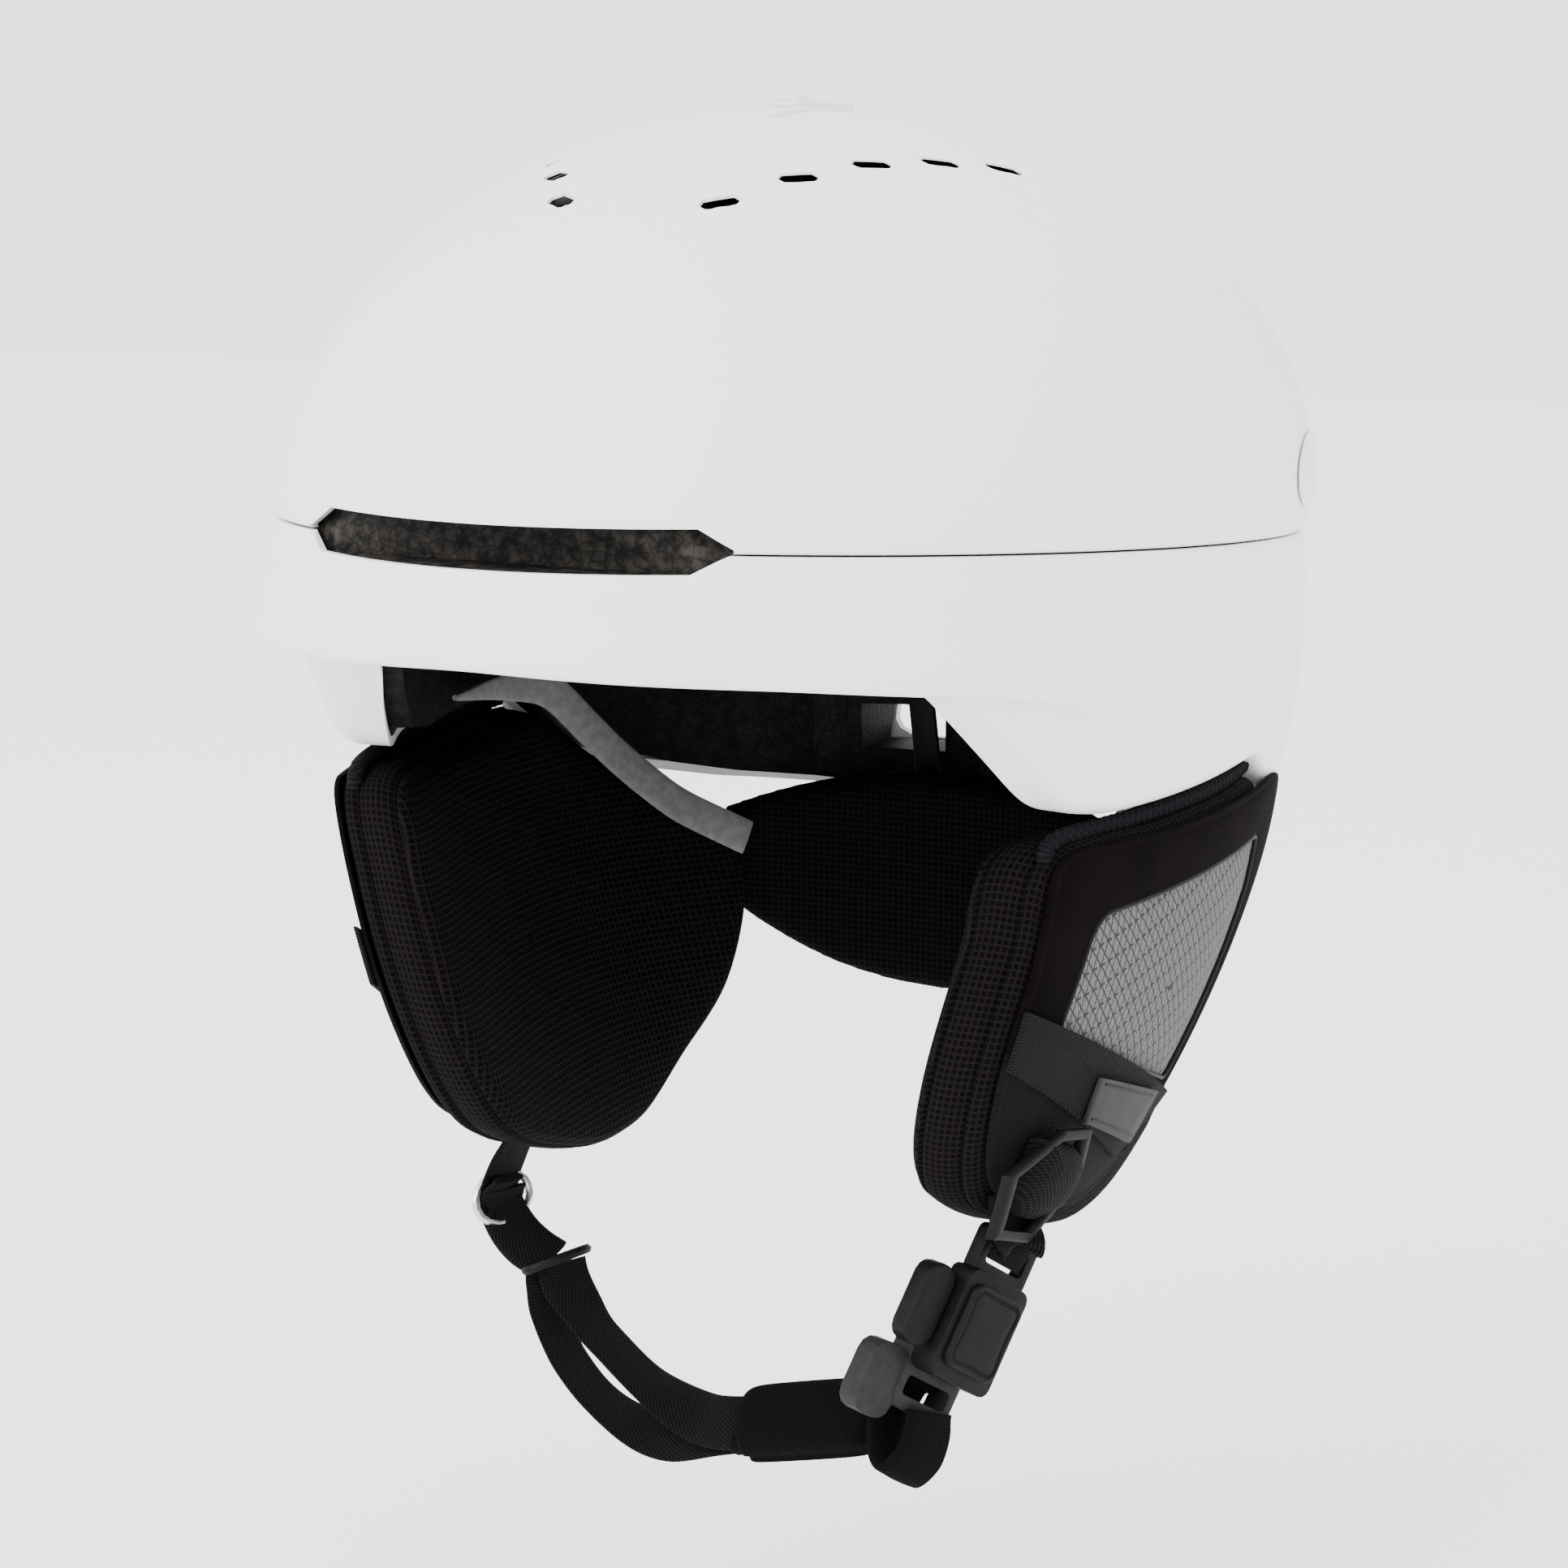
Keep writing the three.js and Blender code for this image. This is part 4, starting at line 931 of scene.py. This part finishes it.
# ---- ear pads ----
def ear_side(y, z):
    lean = (np.maximum(0, -30 - z) / 100) ** 1.5
    front = np.maximum(0, EAR_MIDDLE - y) ** 2
    back = np.maximum(0, y - EAR_MIDDLE) ** 2
    return EAR_SIDE - EAR_LEAN * lean - EAR_FRONT * front - EAR_BACK * back


def rear_fall(y):
    return EAR_REAR_CURVE * np.maximum(0, y - EAR_REAR_START) ** 2


def on_ear(side):
    def place(y, z, height):
        return np.stack([side * (ear_side(y, z) + height), y, z], -1)
    return place


def in_pad(side):
    """Heights above 0 are millimetres out from the pad's face, below 0 shares of its thickness."""
    def place(y, z, height):
        thick = EAR_THICK + EAR_HOLLOW * np.maximum(0, y - EAR_MIDDLE) ** 2
        thick -= rear_fall(y)
        x = ear_side(y, z) - rear_fall(y) + np.where(height > 0, height, height * thick)
        return np.stack([side * x, y, z], -1)
    return place


def ear_pad(label, side):
    body = "ear_" + label
    outline = spline(PAD_OUTLINE, 150, closed=True)
    centre = (-2, -80)
    profile = [
        (0.03, 0, 0.1), (0.5, 0, 0.1), (0.9, 0, 0.1), (1, -1.6, 0.1), (1, -0.6, -0.01), (1, 0.2, -0.05),
        (1, 0.6, -0.12), (1, 0.2, -0.17), (1, -0.5, -0.2), (1, 0.1, -0.23), (1, 0.6, -0.33),
        (1, 0.7, -0.45), (1, 0.4, -0.55), (1, -0.1, -0.62), (1, -1.2, -0.665), (1, -0.8, -0.7),
        (1, -1.2, -0.745), (1, -2.2, -0.8), (0.94, 0, -0.86), (0.89, 0, -0.905), (0.83, 0, -0.94),
        (0.75, 0, -0.965), (0.62, 0, -0.985), (0.48, 0, -0.99), (0.33, 0, -0.98), (0.2, 0, -0.965),
        (0.03, 0, -0.96),
    ]
    pad = slab("ear_cushion_" + label, outline, profile, in_pad(side), centre, walls=range(3, 15), sharp=60)
    finished(pad, "knit", body, "ear_pad_" + label, slot="knit")
    cover_outline = spline(COVER_OUTLINE, 170, closed=True)
    window = resample(softened_corners(WINDOW, 2.5), 160, closed=True)
    cover_centre = (-5, -72)
    edge = [(1, -0.1, 1.2), (1, 0, 1.5), (1, 0, 2.2), (1, -0.15, 2.45), (1, -0.5, 2.5), (1, -1.4, 2.5),
            (1, -1.8, 2.35), (1, -2.2, 2.5)]
    across = [(share, 0, 2.5 + 0.3 * math.sin(math.pi * share)) for share in (0.8, 0.6, 0.4, 0.2)]
    inner = [(0, 1.5, 2.5), (0, 0.7, 2.45), (0, 0.4, 2.2), (0, 0.3, 1.2), (0.5, 0, 1.15)]
    cover = slab("ear_shell_" + label, cover_outline, edge + across + inner, on_ear(side), cover_centre,
                 hole=window, rays=360, sharp=50)
    finished(cover, "cover_suede", body, "ear_cover_" + label, slot="cover_suede")
    cover.data.materials.append(FINISH["nylon"])
    for face in cover.data.polygons:
        y, z = face.center.y / MM, face.center.z / MM
        if z < BAND[3][1] + (y - BAND[3][0]) * (BAND[2][1] - BAND[3][1]) / (BAND[2][0] - BAND[3][0]) + 4:
            face.material_index = 1
    profile = [(0.03, 0, 1.1), (1, 0, 1.1), (1, 0.2, 1.5), (1, -0.4, 1.75), (0.8, 0, 2.4), (0.6, 0, 2.8),
               (0.4, 0, 3.0), (0.2, 0, 3.05), (0.03, 0, 3.05)]
    mesh = slab("ear_window_" + label, window, profile, on_ear(side), cover_centre, rays=300)
    finished(mesh, "mesh", body, "ear_mesh_" + label, slot="mesh")
    piping = tube("ear_piping_" + label, on_ear(side)(window[:, 0], window[:, 1], np.full(160, 2.1)), 0.6,
                  closed=True)
    finished(piping, "dark_plastic", body)
    along, high = spline(COLLAR_PATH, 320).T
    line = np.stack([side * (ear_side(along, -31) - 3.2), along, high], -1)
    collar = tube("ear_braid_" + label, line, 1.7, twist=2.2)
    finished(collar, "braid", body, "ear_collar_" + label)
    for node, outline, low, high, finish, more in (
        ("ear_band_", BAND, 2.9, 4.3, "band", {"round_by": 0.5}),
        ("ear_label_", LABEL, 4.5, 5.9, "label_rubber", {}),
    ):
        made = flat_slab(node + "fine_" + label, outline, low, high, on_ear(side), **more)
        finished(made, finish, body, node + label)
    lines = []
    top, bottom = np.array([LABEL[0], LABEL[1]], float), np.array([LABEL[3], LABEL[2]], float)
    for share in (0.12, 0.88):
        a, b = (top + (bottom - top) * share)
        trim = (b - a) * 0.05
        run = np.linspace(a + trim, b - trim, 30)
        lines.append(on_ear(side)(run[:, 0], run[:, 1], np.full(30, 5.85)))
    for number, line in enumerate(lines):
        finished(tube("label_line_%d_%s" % (number, label), line, 0.32), "dark_plastic", body)


def tube(name, line, radius, closed=False, twist=0.0, sides=12):
    """A round cord along a line of points, with a braided surface if twist is above 0."""
    line = np.asarray(line, float)
    if closed:
        along = np.roll(line, -1, 0) - np.roll(line, 1, 0)
    else:
        along = np.gradient(line, axis=0)
    along /= np.linalg.norm(along, axis=1, keepdims=True)
    guide = np.array([1.0, 0, 0]) if abs(along[:, 0]).max() < 0.9 else np.array([0, 0, 1.0])
    across = guide - along * (along @ guide)[:, None]
    across /= np.linalg.norm(across, axis=1, keepdims=True)
    up = np.cross(along, across)
    run = running_length(line)
    count = sides * 3 if twist else sides
    angle = np.arange(count) * 2 * math.pi / count
    size = np.full((len(line), count), float(radius))
    if twist:
        phase = run[:, None] / twist * math.pi
        strands = [np.abs(np.sin(phase + lean * angle)) for lean in (2, -2)]
        size += 0.16 * radius * (strands[0] + strands[1] - 1)
    rows = (line[:, None] + size[..., None] * (np.cos(angle)[:, None] * across[:, None]
            + np.sin(angle)[:, None] * up[:, None]))
    stretch = np.append(run, run[-1] + (run[-1] - run[-2] if closed else 0))
    girth = np.arange(count + 1) * 2 * math.pi * radius / count
    return grid_object(name, rows, closed_rows=closed, caps=not closed, weave=(stretch, girth), sharp=60)


# ---- webbing ----
def strap(name, knots, body, *nodes, width=WEB_WIDTH, thick=WEB_THICK, steps=90, finish="webbing",
          narrow=1.0):
    """Flat webbing through knots [x, y, z, width direction], with rolled edges and a faint ripple.

    narrow is the first end's width as a share of the full width."""
    knots = np.array(knots, float)
    curve = spline(knots, steps)
    line = curve[:, :3]
    along = np.gradient(line, axis=0)
    along /= np.linalg.norm(along, axis=1, keepdims=True)
    across = curve[:, 3:] - along * (along * curve[:, 3:]).sum(1, keepdims=True)
    across /= np.linalg.norm(across, axis=1, keepdims=True)
    up = np.cross(along, across)
    run = running_length(line)
    w, t = width / 2, thick / 2
    top = [(s * (w - 0.8), t * (0.86 + 0.14 * math.cos(s * 2.4))) for s in np.linspace(-1, 1, 9)]
    section = [(-w, 0.35 * t), *top, (w, 0.35 * t), (w, -0.35 * t), *[(a, -b) for a, b in top[::-1]],
               (-w, -0.35 * t)]
    section = np.array(section)
    ripple = 0.12 * np.sin(run / 3.1)[:, None]
    size = (narrow + (1 - narrow) * np.clip(run / (0.3 * run[-1]), 0, 1))[:, None, None]
    rows = (line[:, None] + size * section[None, :, :1] * across[:, None]
            + (section[None, :, 1:] + ripple[..., None]) * up[:, None])
    girth = running_length(np.vstack([section, section[:1]]))
    made = grid_object(name, rows, caps=True, weave=(run, girth), sharp=60)
    return finished(made, finish, body, *nodes)


def buckle_axes():
    out = (BUCKLE_OUT - BUCKLE_DOWN * BUCKLE_OUT.dot(BUCKLE_DOWN)).normalized()
    return BUCKLE_DOWN.cross(out), BUCKLE_DOWN, out


def in_buckle(x, y, z):
    across, down, out = (np.array(v) for v in buckle_axes())
    x, y, z = (np.asarray(v, float)[..., None] for v in (x, y, z))
    return np.array(BUCKLE_CENTRE) + x * across + y * down + z * out


def rounded(x0, y0, x1, y1, radius, steps=6):
    points = []
    for cx, cy, start in ((x1, y1, 0), (x0, y1, 90), (x0, y0, 180), (x1, y0, 270)):
        sx = cx - radius * (1 if cx == x1 else -1)
        sy = cy - radius * (1 if cy == y1 else -1)
        for k in range(steps + 1):
            a = math.radians(start + 90 * k / steps)
            points.append((sx + radius * math.cos(a), sy + radius * math.sin(a)))
    return points


def buckle():
    refined("buckle_receiver", "dark_plastic", 0.7, "buckle")
    refined("release_tab", "dark_plastic", 0.9, "release")
    refined("receiver_magnet", "steel", 0.2, "buckle")
    refined("buckle_tongue", "grained_plastic", 0.9, "chin")
    refined("tongue_magnet", "steel", 0.2, "chin")
    profile = [(0.05, 0, 3.1), (1, -0.2, 3.1), (1, 0, 3.5), (1, 0, 4.2), (1, -0.35, 4.65), (1, -0.9, 4.8),
               (1, -1.3, 4.75), (1, -1.55, 4.35), (1, -1.9, 4.3), (1, -2.2, 4.6), (1, -2.7, 4.72),
               (0.5, 0, 4.78), (0.05, 0, 4.8)]
    face = slab("buckle_face", rounded(-8.4, -9.6, 8.4, 9.8, 2.6), profile, in_buckle, rays=120)
    finished(face, "dark_plastic", "buckle", "buckle_plate")


def on_crown():
    """Places points over the dome, at a height above it."""
    ring = 180
    shares = np.sin(np.pi / 2 * np.linspace(0.3, 1, 60))
    rows = np.stack([dome_point(np.arange(ring) * 2.0, share) for share in shares])
    faces = [(i * ring + j, i * ring + (j + 1) % ring, (i + 1) * ring + (j + 1) % ring, (i + 1) * ring + j)
             for i in range(59) for j in range(ring)]
    tree = BVHTree.FromPolygons([Vector(p) for p in rows.reshape(-1, 3)], faces)

    def place(x, y, height):
        top = [tree.ray_cast(Vector((a, b, 200)), Vector((0, 0, -1)))[0].z for a, b in zip(x, y)]
        return np.stack([x, y, np.array(top) + height], -1)

    return place


def slide():
    """Track, and the slider with two thumb ribs and a grooved middle."""
    place = on_crown()
    track = flat_slab("vent_rail", rounded(-7.5, -23, 7.5, 28, 2.5), -0.5, 0.9, place, 0.45, rays=300)
    finished(track, "tonal_white", "helmet", "vent_track")
    body = flat_slab("vent_slide", rounded(-4.6, -4.5, 4.6, 26, 2), 0.7, 1.9, place, 0.4)
    finished(body, "tonal_white", "vent", "vent_slider")
    for number, y in enumerate((-1, 22)):
        outline = rounded(-4, y - 2.8, 4, y + 2.8, 1.2)
        rib = flat_slab("thumb_rib_%d" % number, outline, 1.6, 3.2, place, 0.5)
        finished(rib, "tonal_white", "vent")
    for number in range(6):
        y = 4.2 + 2.6 * number
        bar = flat_slab("grip_%d" % number, rounded(-3.6, y - 0.8, 3.6, y + 0.8, 0.5), 1.7, 2.5, place, 0.3)
        finished(bar, "shell_white", "vent")


def side_of(across, x, y, z):
    return [*in_buckle(x, y, z), *across]


def straps():
    lie = (0.34, 0.76, -0.55)
    strap("strap_loop", [
        [71.4, -38, -112, 0.1, 0.95, -0.3], [71.6, -36, -121, 0.2, 0.9, -0.4],
        [73, -31.5, -127, 0.3, 0.83, -0.5],
        side_of(lie, 0, -22.6, 1.6), side_of(lie, 0, -18.4, 0.9), side_of(lie, 0, -15.6, 0.6),
    ], "buckle", "strap_lower_left", width=11.6, thick=1.5)
    strap("strap_fold", [
        side_of(lie, 0, 14.2, -8.2), side_of(lie, 0, 16.6, -12.6), side_of(lie, -1, 24, -13.2),
        side_of(lie, -3, 33, -10.4), side_of(lie, -4, 35.6, -6.4), side_of(lie, -4, 31, -3.2),
        side_of(lie, -3, 25, -2.6), side_of(lie, -2, 20.4, -3.6),
    ], "chin", "strap_tail", width=14, thick=3.4, finish="sleeve")
    end = np.array([6, -36, -180.5])
    far = np.array([41.5, -37, -171.5])
    wide = np.array([0, 0.62, 0.78])
    lift = np.cross((far - end) / np.linalg.norm(far - end), wide)
    lift /= np.linalg.norm(lift)

    def inside(share, distance):
        return [*(end + (far - end) * share + lift * distance), *wide]

    strap("web_lower", [
        [-52.6, -25.6, -153.4, 0.45, 0.8, 0.3], [-52.4, -26.2, -158.4, 0.4, 0.85, 0.3],
        [-51.3, -27, -165, 0.2, 0.9, 0.2], [-45.2, -29, -176, -0.1, 0.98, 0.2],
        [-31.1, -31, -186, -0.2, 0.95, 0.25], [-14.5, -33.5, -188.6, -0.1, 0.8, 0.5],
        inside(-0.14, -1.6), inside(0.5, -1.2), inside(1.12, -1.15),
    ], "chin", "chin_web_lower")
    strap("web_upper", [
        [-49.4, -25.6, -153.0, 0.45, 0.8, 0.3], [-47.8, -26, -157.6, 0.4, 0.85, 0.3],
        [-43.6, -26.6, -162.5, 0.2, 0.9, 0.2], [-36.5, -28, -169, -0.1, 0.98, 0.2],
        [-22.7, -30.5, -177, -0.2, 0.95, 0.25], [-10, -33.6, -180.8, -0.1, 0.8, 0.5],
        inside(-0.1, 1.5), inside(0.5, 1.15), inside(1.12, 1.15),
    ], "chin", "chin_web_upper")
    strap("strap_right", [
        [-62.6, -21.5, -124, 0.2, 0.95, 0.1], [-65.2, -22.6, -129, 0.2, 0.95, 0.1],
        [-67.2, -23.6, -135, 0.2, 0.95, 0.1], [-68, -24, -139, 0.2, 0.95, 0.1],
        [-66.6, -24, -141, 0.2, 0.95, 0.1], [-65.4, -23.8, -137, 0.2, 0.95, 0.1],
    ], "ear_right", "strap_upper_right", width=13.4)
    strap("strap_link", [
        [-64.8, -24, -134.4, 0.2, 0.95, 0.15], [-66.8, -24.4, -137.2, 0.2, 0.95, 0.15],
        [-66.8, -24.6, -141, 0.25, 0.92, 0.2], [-63.4, -24.8, -146.4, 0.35, 0.88, 0.25],
        [-58.6, -25.1, -150.4, 0.42, 0.82, 0.3], [-52.8, -25.5, -152.8, 0.45, 0.8, 0.3],
    ], "right_link", "strap_link_right", thick=2.4)
    chin_sleeve(end, far, wide, lift)


def band_arms():
    for label, side in (("left", 1), ("right", -1)):
        knots = [[79, -22, -17.5, 0, 0, 1], [79.5, 2, -18.5, 0, 0, 1], [78, 20, -22, 0, 0.25, 1],
                 [69.5, 36, -39, 0, 0.5, 0.8], [59.5, 51, -54, 0, 0.5, 0.8], [48.5, 70, -66, 0, 0.3, 1]]
        knots = [[side * x, y, z, side * a, b, c] for x, y, z, a, b, c in knots]
        strap("fit_arm_" + label, knots, "cradle", "band_arm_" + label, width=9, thick=1.4,
              finish="light_plastic", narrow=0.15)


def chin_sleeve(end, far, wide, lift):
    """The soft sleeve: an oval tube pulled in at its ends, with a seam along each edge."""
    stops = np.array([0, 0.015, 0.04, 0.08, 0.14, 0.25, 0.4, 0.55, 0.7, 0.82, 0.9, 0.95, 0.985, 1])
    stops = np.unique(np.concatenate([stops, np.linspace(0, 1, 40)]))
    ends = np.minimum(stops, 1 - stops) * np.linalg.norm(far - end)
    pull = 1 - 0.16 * np.exp(-ends / 1.2) - 0.05 * np.exp(-ends / 5)
    count = 72
    angle = np.arange(count) * 2 * math.pi / count
    c, s = np.cos(angle), np.sin(angle)
    flat = np.sign(c) * np.abs(c) ** 0.55
    tall = np.sign(s) * np.abs(s) ** 0.6
    seam = 1 - 0.1 * np.exp(-((np.abs(c) - 1) / 0.006) ** 2)
    rows = []
    for share, size in zip(stops, pull):
        middle = end + (far - end) * share
        ring = (middle + (9.1 * size * flat * seam)[:, None] * wide + (5.3 * size * tall)[:, None] * lift)
        rows.append(ring)
    inner = []
    for share in (1, 0.9, 0.1, 0):
        middle = end + (far - end) * share
        inner.append(middle + (7.2 * flat)[:, None] * wide + (3.2 * tall)[:, None] * lift)
    corner = np.array(rows)
    cut = np.maximum(0, 1 - stops / 0.11)[:, None] * np.maximum(0, -flat)[None]
    corner += (cut * 2.6)[..., None] * wide + (cut * 1.2)[..., None] * (far - end) / 36
    made = grid_object("chin_cushion", np.concatenate([corner, inner]), closed_rows=True, sharp=50)
    finished(made, "sleeve", "chin_sleeve", "chin_pad")


def divider():
    place = on_ear(1)
    profile = [(0.05, 0, 3.6), (1, 0, 3.6), (1, 0.5, 5), (1, 0.3, 7), (0.88, 0, 8.7), (0.7, 0, 9.7),
               (0.35, 0, 10.4), (0.05, 0, 10.5)]
    tucked = slab("strap_tucked", chaikin(TUCKED_WEB + TUCKED_WEB[:1], 2)[:-1], profile, place)
    finished(tucked, "webbing", "ear_left", "strap_upper_left")
    opening = shrunk(DIVIDER, 2.9)
    made = flat_slab("strap_divider_fine", DIVIDER, 6.2, 8.9, place, 0.7, hole=opening)
    finished(made, "dark_plastic", "ear_left", "strap_divider_left")


def shrunk(outline, distance):
    outline = np.array(outline, float)
    middle = outline.mean(0)
    away = outline - middle
    return outline - distance * away / np.linalg.norm(away, axis=1, keepdims=True)


upper_shell()
lower_shell()
slide()
for label, side in (("left", 1), ("right", -1)):
    ear_pad(label, side)
divider()
straps()
band_arms()
buckle()
refined("d_ring_right", "steel", 0.1, "right_link")
refined("ring_keeper", "dark_plastic", 0.1, "chin")
for node, body in (("brow_pad", "helmet"), ("crown_pad", "helmet"), ("side_pad_left", "helmet"),
                   ("side_pad_right", "helmet"), ("neck_pad", "cradle")):
    softened(node, "knit_inner", body)
for node, finish, width, body in (
    ("badge_left", "tonal_white", 0.5, "helmet"), ("badge_right", "tonal_white", 0.5, "helmet"),
    ("fit_band", "light_plastic", 0.4, "helmet"), ("cradle_rail", "dark_plastic", 0.4, "cradle_hanger"),
    ("rear_cradle", "dark_plastic", 0.5, "cradle"), ("dial_housing", "dark_plastic", 0.8, "cradle"),
    ("dial_knob", "grey_plastic", 0.4, "dial"), ("dial_shaft", "steel", 0.2, "dial"),
    ("goggle_clip_base", "dark_plastic", 0.5, "helmet"), ("goggle_clip_pin", "steel", 0.1, "helmet"),
    ("goggle_hook", "dark_plastic", 0.5, "goggle_clip"), ("strap_anchor_left", "steel", 0.2, "helmet"),
    ("strap_anchor_right", "steel", 0.2, "helmet"),
):
    refined(node, finish, width, body)
for node, finish in (
    ("eps_liner", "bead_foam"), ("slip_liner", "grey_plastic"), ("vent_shutter", "dark_plastic"),
):
    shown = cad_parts[node]
    shown.data.materials.clear()
    shown.data.materials.append(FINISH[finish])

add_camera()
floor_corners = [(x * FLOOR_REACH, y * FLOOR_REACH, FLOOR_LEVEL)
                 for x, y in ((-1, -1), (1, -1), (1, 1), (-1, 1))]
floor = new_object("floor", floor_corners, [(0, 1, 2, 3)])
floor_pale = Finish("floor_pale", (0.9, 0.9, 0.9), 1, Specular_IOR_Level=0, Emission_Strength=0.3)
floor_pale.shader.inputs["Emission Color"].default_value = (1, 1, 1, 1)
floor.data.materials.append(floor_pale.material)
world = bpy.data.worlds.new("studio")
world.use_nodes = True
sky = world.node_tree.nodes["Background"]
sky.inputs["Color"].default_value = (1, 1, 1, 1)
sky.inputs["Strength"].default_value = SKY_STRENGTH
bpy.context.scene.world = world
add_light("key", (-0.7, -1.3, 1.3), 1.4, 45)
add_light("side", (1.6, -0.6, 0.7), 1.0, 8)
